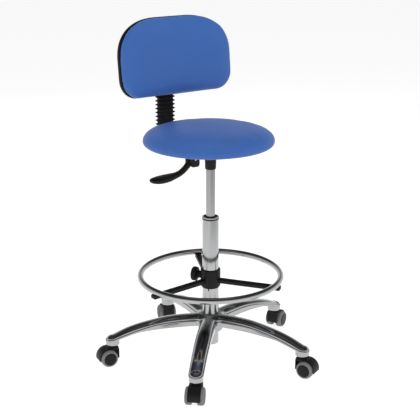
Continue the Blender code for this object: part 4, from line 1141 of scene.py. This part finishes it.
def inflate(piece, cap, hold):
    """Fills a pad like stuffed vinyl: a remesh, a short cloth run under pressure, a subdivision.

    No point moves further than the cap, and hold(point) is the share of its move that it keeps.
    """
    remesh = piece.modifiers.new("Remesh", "REMESH")
    remesh.mode = "VOXEL"
    remesh.voxel_size = SIM_VOXEL
    remesh.use_smooth_shade = True
    settle(piece, sharp=180)
    before = [v.co.copy() for v in piece.data.vertices]
    cloth = piece.modifiers.new("Cloth", "CLOTH")
    cloth.settings.quality = 5
    cloth.settings.mass = 0.4
    cloth.settings.tension_stiffness = 30
    cloth.settings.compression_stiffness = 30
    cloth.settings.shear_stiffness = 15
    cloth.settings.bending_stiffness = 1.5
    cloth.settings.use_pressure = True
    cloth.settings.uniform_pressure_force = SIM_PRESSURE
    cloth.settings.effector_weights.gravity = 0
    cloth.collision_settings.use_collision = False
    scene = bpy.context.scene
    for step in range(1, SIM_FRAMES + 1):
        scene.frame_set(step)
    settle(piece, sharp=180)
    scene.frame_set(1)
    for vertex, start in zip(piece.data.vertices, before):
        move = vertex.co - start
        if move.length > 0:
            move = move.normalized() * cap * math.tanh(move.length / cap)
        vertex.co = start + move * hold(start)
    smooth = piece.modifiers.new("Smooth", "CORRECTIVE_SMOOTH")
    smooth.iterations = 9
    smooth.use_only_smooth = True
    finer = piece.modifiers.new("Finer", "SUBSURF")
    finer.levels = 1
    finer.render_levels = 1
    return settle(piece, sharp=180)


def build_seat():
    middle = over("seat_cushion")
    profile = []
    for r, z in SEAT_PROFILE:
        spread_out = SEAT_SPREAD * min(1.0, r / 0.12)
        profile.append((r + spread_out, SEAT_BOTTOM + z - (SEAT_SLACK if z > 0.015 else 0)))
    cushion = turned("seat_pad", profile, edge=0, steps=128, sharp=180)

    def hold(point):
        """The crown swells, but the rim and the underside are drawn tight over the board."""
        share = min(1.0, math.hypot(point.x, point.y) / SEAT_RADIUS)
        rise = min(1.0, max(0.0, (point.z - SEAT_BOTTOM - 0.002) / 0.012))
        return rise * (1 - share ** 3)

    inflate(cushion, 0.003, hold)
    cushion.matrix_world = middle
    hand_over(cushion, "blue_vinyl", "seat", "seat_cushion")
    bottom, top = heights("seat_board")
    board = turned(
        "seat_plywood_disc",
        [(0, top), (BOARD_RADIUS, top), (BOARD_RADIUS, bottom), (0, bottom)], middle, edge=0.001,
        steps=128,
    )
    hand_over(board, "plywood", "seat", "seat_board")
    build_seat_plate(middle)
    for number in range(1, 5):
        build_seat_bolt(number)


def build_seat_plate(middle):
    low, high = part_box("seat_plate")
    across = (high.x - low.x) / 2 - PLATE_CORNER
    along = (high.y - low.y) / 2 - PLATE_CORNER
    corners = []
    for x, y, start in ((1, 1, 0), (-1, 1, 90), (-1, -1, 180), (1, -1, 270)):
        corners += arc((x * across, y * along), PLATE_CORNER, start, start + 90, 12)
    steel = plate(
        "seat_steel_plate", corners, high.z - low.z,
        middle @ Matrix.Translation((0, 0, (low.z + high.z) / 2)), edge=0.0008,
    )
    hand_over(steel, "black_steel", "seat", "seat_plate")


def build_seat_bolt(number):
    """A hexagon-headed bolt with a washer face."""
    node = f"seat_bolt_{number}"
    low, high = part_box(node)
    place = over(node)
    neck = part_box("seat_plate")[0].z - GAP
    bolt = turned(
        f"seat_hexagon_bolt_{number}",
        [
            (0, high.z), (0.003, high.z), (0.003, neck), (0.0055, neck), (0.0055, neck - 0.0008),
            (0, neck - 0.0008),
        ],
        place, edge=0.0002, steps=36,
    )
    head = rod("head", 0.0053, low.z, neck - 0.0004, place, steps=6)
    join(bolt, head)
    hand_over(bolt, "zinc_steel", "seat", node)


# ---- release lever ---------------------------------------------------------------------------
# Sections of the lever from its pivot outward: share of the way, x, z, half width, half thickness.
LEVER_SECTIONS = (
    (0.00, 0.0000, 0.0000, 0.0098, 0.0088),
    (0.10, -0.0140, -0.0135, 0.0096, 0.0088),
    (0.20, -0.0280, -0.0270, 0.0093, 0.0086),
    (0.30, -0.0430, -0.0365, 0.0096, 0.0084),
    (0.40, -0.0565, -0.0408, 0.0118, 0.0086),
    (0.50, -0.0700, -0.0430, 0.0150, 0.0096),
    (0.60, -0.0850, -0.0450, 0.0182, 0.0110),
    (0.71, -0.1040, -0.0462, 0.0198, 0.0114),
    (0.82, -0.1220, -0.0466, 0.0186, 0.0103),
    (0.91, -0.1360, -0.0460, 0.0142, 0.0080),
    (0.965, -0.1430, -0.0452, 0.0088, 0.0050),
    (1.00, -0.1462, -0.0448, 0.0018, 0.0010),
)
FINGER = 0.004               # thickness of the finger that presses the valve
FINGER_HALF = 0.0045         # half its width
PIN_HOLE = 0.0033
HOUSING_CORNER = 0.008
HOUSING_SLOT = 0.0104        # half width of the room for the lever


def lever_skin(shape):
    shares = spread(0, 0.9, 40) + spread(0.915, 1.0, 10)
    rows = [smooth_at(LEVER_SECTIONS, share) for share in shares]
    loops = []
    for i, (x, z, half, thick) in enumerate(rows):
        before, after = rows[max(i - 1, 0)], rows[min(i + 1, len(rows) - 1)]
        way = Vector((after[0] - before[0], 0, after[1] - before[1])).normalized()
        up = Vector((way.z, 0, -way.x))
        loop = []
        for k in range(32):
            a = 2 * math.pi * k / 32
            side = math.copysign(abs(math.cos(a)) ** 0.85, math.cos(a)) * half
            rise = math.copysign(abs(math.sin(a)) ** 0.85, math.sin(a)) * thick
            loop.append(Vector((x, side, z)) + up * rise)
        loops.append(loop)
    loft(shape, loops)


def build_lever():
    pivot = Vector(JOINTS["lever_tip"]["pos_m"])
    place = Matrix.Translation(pivot)
    lever = drawn("release_handle", lever_skin, sharp=60)
    upright = facing(1, 0, 0)
    hub = turned(
        "hub", [(0, 0.010), (0.0095, 0.010), (0.0095, -0.010), (0, -0.010)], upright, steps=SMALL
    )
    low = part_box("release_lever")[1].z - FINGER - pivot.z
    neck = block(
        "neck", (-0.005, -FINGER_HALF, 0.002), (0.005, FINGER_HALF, low + FINGER), edge=0.0006
    )
    finger = block(
        "finger", (0.001, -FINGER_HALF, low), (0.0685, FINGER_HALF, low + FINGER), edge=0.0006
    )
    join(lever, hub, neck, finger, sharp=60)
    cut(lever, rod("pivot_hole", PIN_HOLE, -0.02, 0.02, upright, steps=32), sharp=60)
    lever.matrix_world = place
    hand_over(lever, "gloss_plastic", "lever", "release_lever")
    build_lever_housing(pivot, upright)


def build_lever_housing(pivot, upright):
    """The housing that the lever tips in, and the pin it turns on."""
    place = Matrix.Translation(pivot)
    low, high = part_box("lever_bracket")
    half_x = (high.x - low.x) / 2
    half_y = (high.y - low.y) / 2
    corner = HOUSING_CORNER
    side = [(half_x, high.z), (-half_x, high.z)]
    side += arc((-half_x + corner, low.z + corner), corner, 180, 270, 12)
    side += arc((half_x - corner, low.z + corner), corner, 270, 360, 12)
    at = Matrix.Translation((pivot.x, pivot.y, 0))
    bracket = plate("lever_housing", side, half_y * 2, at @ upright, edge=0.0012)
    cut(
        bracket,
        block(
            "slot", (-half_x + 0.0035, -HOUSING_SLOT, low.z - 0.004),
            (half_x + 0.004, HOUSING_SLOT, high.z + 0.004), at, edge=0,
        ),
        block(
            "mouth", (-half_x - 0.004, -HOUSING_SLOT, low.z - 0.004),
            (0, HOUSING_SLOT, pivot.z + 0.008), at, edge=0,
        ),
        rod("hole", PIN_HOLE, -0.03, 0.03, place @ upright, steps=32),
    )
    hand_over(bracket, "black_plastic", "seat", "lever_bracket")
    pin = turned(
        "lever_pivot_steel_pin", [(0, half_y), (0.003, half_y), (0.003, -half_y), (0, -half_y)],
        place @ upright, edge=0.0005, steps=32,
    )
    hand_over(pin, "zinc_steel", "seat", "lever_pivot_pin")


# ---- back ------------------------------------------------------------------------------------
BAR_Y = 0.251
BAR_BEND = 0.020
BAR_HALF = 0.003             # half the bar's thickness
SLIDE_HALF = 0.0125          # half the depth of the block that slides on it
BELLOWS_FOLDS = 12
BELLOWS_CREST = (0.063, 0.034)
BELLOWS_VALLEY = (0.051, 0.0215)
BACK_TILT = 6.3
BACK_WIDTH = 0.388
BACK_HEIGHT = 0.231
BACK_THICKNESS = 0.053
SHELL_THICKNESS = 0.014
BACK_CURVE = 1.09
BACK_CROWN = 0.026           # how much higher and lower the outline is at its middle
TOP_CORNER = (0.142, 0.116)
BOTTOM_CORNER = 0.056
BACK_MIDDLE = (0.1935, heights("back_bar")[0] + 0.266)


def round_rectangle(size, height, steps=7):
    radius = min(size) * 0.32
    points = []
    for x, y, start in ((1, 1, 0), (-1, 1, 90), (-1, -1, 180), (1, -1, 270)):
        centre = (x * (size[0] / 2 - radius), y * (size[1] / 2 - radius))
        points += arc(centre, radius, start, start + 90, steps)
    return [Vector((x, y, height)) for x, y in points]


def bellows_skin(bottom, top):
    """Pleats: a narrow crest between two hollow flanks, with a soft root."""
    pitch = (top - bottom) / BELLOWS_FOLDS
    shape_of_fold = ((0.00, 0.0), (0.12, 0.03), (0.24, 0.18), (0.36, 0.55), (0.45, 0.93), (0.50, 1.0),
                     (0.55, 0.93), (0.64, 0.55), (0.76, 0.18), (0.88, 0.03))

    def build(shape):
        loops = []
        for fold in range(BELLOWS_FOLDS):
            for share, out in shape_of_fold:
                size = [a + (b - a) * out for a, b in zip(BELLOWS_VALLEY, BELLOWS_CREST)]
                loops.append(round_rectangle(size, bottom + pitch * (fold + share)))
        loops.append(round_rectangle(BELLOWS_VALLEY, top))
        loft(shape, loops, closed_ends=False)

    return build


def build_bellows():
    low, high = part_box("back_bellows")
    place = AXIS @ Matrix.Translation((0, BAR_Y, 0))
    bellows = drawn("back_pleated_sleeve", bellows_skin(low.z, high.z), place, sharp=50)
    wall = bellows.modifiers.new("Wall", "SOLIDIFY")
    wall.thickness = 0.0011
    wall.offset = -1
    settle(bellows, sharp=50)
    bellows.data.materials.clear()
    bellows.data.materials.append(FINISHES["black_rubber"])
    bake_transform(bellows)
    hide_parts("back_bellows")


def build_bar():
    low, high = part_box("back_bar")
    half = BAR_HALF
    level = low.z + half
    centre = (BAR_Y - BAR_BEND, level + BAR_BEND)
    start = low.y - AXIS.translation.y
    points = [(start, level - half)]
    points += arc(centre, BAR_BEND + half, 270, 360, 16)
    points += [(BAR_Y + half, high.z - 0.003), (BAR_Y + half - 0.003, high.z)]
    points += [(BAR_Y - half + 0.003, high.z), (BAR_Y - half, high.z - 0.003)]
    points += arc(centre, BAR_BEND - half, 360, 270, 16)
    points += [(start, level + half)]
    turn = facing(1, 0, 1)
    bar = plate("back_flat_bar", points, high.x - low.x, AXIS @ turn, edge=0.0009)
    hand_over(bar, "black_steel", "bar", "back_bar")
    guide_low, guide_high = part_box("bar_guide")
    guide = block("back_bar_channel", guide_low, guide_high, edge=0.0015)
    slot = block(
        "slot", (low.x - GAP, guide_low.y - 0.004, low.z - GAP),
        (high.x + GAP, guide_high.y + 0.004, level + half + GAP), edge=0,
    )
    knob_spot = Vector(JOINTS["depth_knob_turn"]["pos_m"])
    under_knob = Matrix.Translation((knob_spot.x, knob_spot.y, 0))
    hole = rod("hole", STUD_HOLE, guide_low.z - 0.004, level, under_knob, steps=32)
    cut(guide, slot, hole)
    hand_over(guide, "black_steel", "seat", "bar_guide")
    face = guide_low.z - 0.007
    knob = clamp_knob(
        "back_depth_knob", *BACK_KNOB, -face, -level + BAR_HALF + GAP,
        under_knob @ facing(2, 0, 0), lobes=10,
    )
    hand_over(knob, "black_plastic", "depth_knob", "depth_knob")


def back_outline(scale=1.0, inset=0.0, count=120):
    """The backrest's front outline about its middle, evenly spaced: (across, up)."""
    half = BACK_WIDTH / 2
    low = -BACK_HEIGHT / 2
    high = BACK_HEIGHT / 2
    right = [(0, low)] + arc((half - BOTTOM_CORNER, low + BOTTOM_CORNER), BOTTOM_CORNER, -90, 0, 20)
    for i in range(37):
        turn = math.radians(90 * i / 36)
        right.append(
            (
                half - TOP_CORNER[0] * (1 - math.cos(turn) ** 0.87),
                high - TOP_CORNER[1] * (1 - math.sin(turn) ** 0.87),
            )
        )
    right.append((0, high))
    whole = right + [(-x, y) for x, y in reversed(right[1:-1])]
    whole = [(x, y * (1 + BACK_CROWN * math.cos(math.pi * x / BACK_WIDTH))) for x, y in whole]
    return [shrunk(point, scale, inset) for point in evenly(whole, count)]


def shrunk(point, scale, inset):
    """A point moved towards the middle by a share and by a length."""
    here = Vector(point) * scale
    return here - here.normalized() * inset if here.length > inset else here * 0


def evenly(points, count):
    """The closed outline resampled at equal steps."""
    loop = [Vector(p) for p in points] + [Vector(points[0])]
    lengths = [0.0]
    for a, b in zip(loop, loop[1:]):
        lengths.append(lengths[-1] + (b - a).length)
    result = []
    for k in range(count):
        want = lengths[-1] * k / count
        i = bisect.bisect_right(lengths, want) - 1
        t = (want - lengths[i]) / max(lengths[i + 1] - lengths[i], 1e-9)
        result.append(loop[i].lerp(loop[i + 1], t))
    return result


def bent(across, up, depth):
    """A point of the backrest in its own frame: the flat depth bent round the sitter."""
    angle = across / BACK_CURVE
    radius = BACK_CURVE + depth
    return Vector((radius * math.sin(angle), radius * math.cos(angle) - BACK_CURVE, up))


def back_panel(rows):
    """Skin over loops of the outline, each (scale, inset, depth), closed at both ends."""

    def build(shape):
        loops = [
            [bent(p.x, p.y, depth) for p in back_outline(scale, inset)]
            for scale, inset, depth in rows
        ]
        loft(shape, loops)

    return build


def back_place():
    """The backrest's frame: its middle, leaning back."""
    lean = Matrix.Rotation(-math.radians(BACK_TILT), 4, "X")
    return AXIS @ Matrix.Translation((0, *BACK_MIDDLE)) @ lean


def build_backrest():
    tilt = back_place()
    rear = BACK_THICKNESS / 2
    split = rear - SHELL_THICKNESS
    shell_rows = [
        (0.05, 0, split + 0.001), (0.5, 0, split + 0.001), (0.93, 0, split + 0.001),
        (1, 0.0045, split + 0.0004),
        (1, 0.0030, split - 0.0002), (1, 0.0012, split + 0.0004), (1, 0.0002, split + 0.0020),
        (1, 0.0, split + 0.0045), (1, 0.0004, rear - 0.0060), (1, 0.0014, rear - 0.0035),
        (1, 0.0032, rear - 0.0014), (1, 0.0056, rear - 0.0003), (1, 0.0085, rear),
        (1, 0.0130, rear),
        (1, 0.0142, rear - 0.0008), (1, 0.0156, rear - 0.0008), (1, 0.0168, rear),
        (0.88, 0, rear), (0.74, 0, rear), (0.56, 0, rear), (0.38, 0, rear), (0.2, 0, rear),
        (0.05, 0, rear),
    ]
    shell = drawn("backrest_moulded_shell", back_panel(shell_rows), tilt, sharp=50)
    hand_over(shell, "black_plastic", "backrest", "backrest_shell")
    front = -rear
    pad_rows = [
        (0.05, 0, split), (0.5, 0, split), (0.93, 0, split), (1, 0.0020, split - 0.0002),
        (1, 0.0000, split - 0.0012), (1, -0.0010, split - 0.0040), (1, -0.0016, split - 0.0090),
        (1, -0.0014, split - 0.0150), (1, 0.0000, split - 0.0210), (1, 0.0036, front + 0.0125),
        (1, 0.0090, front + 0.0080), (1, 0.0165, front + 0.0045), (0.84, 0.004, front + 0.0022),
        (0.72, 0, front + 0.0008), (0.56, 0, front + 0.0002), (0.38, 0, front), (0.2, 0, front),
        (0.05, 0, front),
    ]
    pad = drawn("backrest_pad", back_panel(pad_rows), sharp=180)

    def hold(point):
        """The pad's rear stays flat on the shell."""
        depth = point.y + point.x ** 2 / (2 * BACK_CURVE)
        return min(1.0, max(0.0, (split - 0.002 - depth) / 0.012))

    inflate(pad, 0.004, hold)
    pad.matrix_world = tilt
    hand_over(pad, "blue_vinyl", "backrest", "backrest_cushion")


def build_carriage():
    low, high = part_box("back_carriage")
    bar_middle = AXIS.translation.y + BAR_Y
    sleeve_front = bar_middle - SLIDE_HALF
    sleeve_back = bar_middle + SLIDE_HALF
    carriage = block(
        "back_slide_block", (low.x, sleeve_front, low.z), (high.x, sleeve_back, high.z), edge=0.003
    )
    reach = BAR_Y - SLIDE_HALF - BACK_MIDDLE[0] + 0.006
    pad = block(
        "mount", (-0.026, BACK_THICKNESS / 2 + GAP, -0.052), (0.026, reach, 0.008), back_place(),
        edge=0.0012,
    )
    join(carriage, pad)
    bar_low, bar_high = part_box("back_bar")
    knob_spot = Vector(JOINTS["back_knob_turn"]["pos_m"])
    away = Matrix.Translation((knob_spot.x, AXIS.translation.y, knob_spot.z)) @ facing(-1, 0, 0)
    half = BAR_HALF + GAP
    cut(
        carriage,
        block(
            "slot", (bar_low.x - GAP, bar_middle - half, low.z - 0.004),
            (bar_high.x + GAP, bar_middle + half, high.z + 0.004), edge=0,
        ),
        rod("hole", STUD_HOLE, BAR_Y, BAR_Y + 0.02, away, steps=32),
    )
    hand_over(carriage, "black_plastic", "backrest", "back_carriage")
    knob = clamp_knob(
        "back_height_knob", *BACK_KNOB, BAR_Y + SLIDE_HALF + 0.007, BAR_Y + half, away, lobes=10
    )
    hand_over(knob, "black_plastic", "back_knob", "back_knob")
    corners = [(x, z) for z in (low.z + 0.012, high.z - 0.012) for x in (-0.022, 0.022)]
    for number, (x, z) in enumerate(corners, 1):
        place = Matrix.Translation((AXIS.translation.x + x, sleeve_back, z)) @ facing(-1, 0, 0)
        screw = turned(
            f"back_slide_screw_{number}",
            [(0, 0.0016), (0.0022, 0.0015), (0.0040, 0.0006), (0.0042, -0.0010), (0, -0.0010)],
            place,
            edge=0.0002, steps=32,
        )
        cut(screw, rod("socket", 0.0014, 0.0004, 0.004, place, steps=6))
        hand_over(screw, "zinc_steel", "backrest")


# ---- studio ----------------------------------------------------------------------------------
CAMERA_HEADING = -34.5
CAMERA_DISTANCE = 2.897
CAMERA_HEIGHT = 1.3802
CAMERA_PITCH = 17.25
CAMERA_LENS = 86.08
CAMERA_SIDESTEP = 0.0016
# Painted glow of the floor: a brighter pool of light round and behind the stool, and dimmer sides
# outside it.
POOL_HALF_WIDTH = 0.55
POOL_SPREAD = 0.24           # how much wider the pool of light gets for each metre further back
POOL_FRONT = 0.50
POOL_EDGE = 2.2              # how far it takes to fade
POOL_GLOW = 0.88
LEFT_GLOW = 0.78             # outside the pool
RIGHT_GLOW = 0.52
GLOW_REACH = 1.6
FLOOR_REACH = 60
# Lights: place, height they aim at, size and watts.
LIGHTS = {
    "key": ((-2.6, -2.2, 3.2), 0.6, (2.0, 2.0), 60),
    "fill": ((2.8, -2.4, 2.2), 0.6, (2.0, 2.4), 35),
    "top": ((0.2, 0.6, 3.8), 0.4, (2.6, 2.6), 45),
    "back": ((0.8, 3.4, 2.4), 0.6, (2.2, 1.6), 30),
}
# How bright the room is, by the sine of the height above the horizon.
ROOM_STOPS = ((0.0, 0.90), (0.20, 0.80), (0.36, 0.28), (0.55, 0.06), (0.85, 0.04), (1.0, 0.12))
ROOM_STRENGTH = 1.1


def build_camera():
    data = bpy.data.cameras.new("Camera")
    data.sensor_width = 36
    data.lens = CAMERA_LENS
    data.clip_end = 200
    camera = bpy.data.objects.new("Camera", data)
    bpy.context.scene.collection.objects.link(camera)
    heading = math.radians(CAMERA_HEADING)
    spot = Vector((math.sin(heading), -math.cos(heading), 0)) * CAMERA_DISTANCE
    spot -= Vector((math.cos(heading), math.sin(heading), 0)) * CAMERA_SIDESTEP
    spot += AXIS.translation
    camera.location = (spot.x, spot.y, CAMERA_HEIGHT)
    camera.rotation_euler = (math.radians(90 - CAMERA_PITCH), 0, heading)
    bpy.context.scene.camera = camera


def build_floor():
    """A pale floor that glows, with a painted pool of light round and behind the stool and a dimmer
    painted glow outside it, brighter to the left than to the right.
    """
    finish = Finish("studio_floor", (0.35, 0.35, 0.35), 0.9, fixed={"Specular IOR Level": 0.0})
    finish.put("Emission Strength", 1.0)
    x = finish.node("ShaderNodeSeparateXYZ", None, {0: finish.place()})
    y = Value(finish, x.socket.node.outputs[1])
    heading = math.radians(CAMERA_HEADING)
    across = x * math.cos(heading) + y * math.sin(heading)
    behind = y * math.cos(heading) - x * math.sin(heading)
    sides = across.math("ABSOLUTE") - behind * POOL_SPREAD - POOL_HALF_WIDTH
    out = sides.math("MAXIMUM", behind * -1.0 - POOL_FRONT)
    right = finish.ramp(across, -GLOW_REACH, GLOW_REACH)
    glow = finish.mix_colour(right, (LEFT_GLOW,) * 3, (RIGHT_GLOW,) * 3)
    fade = finish.ramp(out, 0, POOL_EDGE)
    # Painted light: the floor's emission is brightest in the pool and dimmer outside it, more so
    # towards the right.
    finish.put("Emission Color", finish.mix_colour(fade, (POOL_GLOW,) * 3, glow))

    def build(shape):
        bmesh.ops.create_grid(shape, x_segments=1, y_segments=1, size=FLOOR_REACH)

    floor = drawn("floor", build)
    floor.data.materials.append(finish.material)


def build_lights():
    """Soft lamps that the metal doesn't mirror, so that only the room shows in it."""
    for name, (place, aim, size, watts) in LIGHTS.items():
        data = bpy.data.lights.new(name, "AREA")
        data.shape = "RECTANGLE"
        data.size, data.size_y = size
        data.energy = watts
        light = bpy.data.objects.new(name, data)
        bpy.context.scene.collection.objects.link(light)
        light.visible_glossy = False
        light.location = place
        way = Vector((0, 0, aim)) - Vector(place)
        light.rotation_euler = way.to_track_quat("-Z", "Y").to_euler()


def build_world():
    """A pale room, brighter at eye level than overhead, for the metal to mirror."""
    world = bpy.data.worlds.new("studio")
    world.use_nodes = True
    bpy.context.scene.world = world
    tree = world.node_tree
    tree.nodes.clear()
    place = tree.nodes.new("ShaderNodeTexCoord")
    split = tree.nodes.new("ShaderNodeSeparateXYZ")
    ramp = tree.nodes.new("ShaderNodeValToRGB")
    background = tree.nodes.new("ShaderNodeBackground")
    output = tree.nodes.new("ShaderNodeOutputWorld")
    while len(ramp.color_ramp.elements) < len(ROOM_STOPS):
        ramp.color_ramp.elements.new(0.5)
    for element, (position, level) in zip(ramp.color_ramp.elements, ROOM_STOPS):
        element.position = position
        element.color = (level, level, level, 1)
    tree.links.new(place.outputs["Generated"], split.inputs[0])
    tree.links.new(split.outputs["Z"], ramp.inputs[0])
    tree.links.new(ramp.outputs["Color"], background.inputs["Color"])
    background.inputs["Strength"].default_value = ROOM_STRENGTH
    tree.links.new(background.outputs[0], output.inputs[0])
    bpy.context.scene.view_settings.view_transform = "Standard"


def main():
    build_camera()
    build_floor()
    build_lights()
    build_world()
    build_base()
    build_casters()
    build_column()
    build_foot_ring()
    build_seat()
    build_lever()
    build_bar()
    build_bellows()
    build_carriage()
    build_backrest()


main()
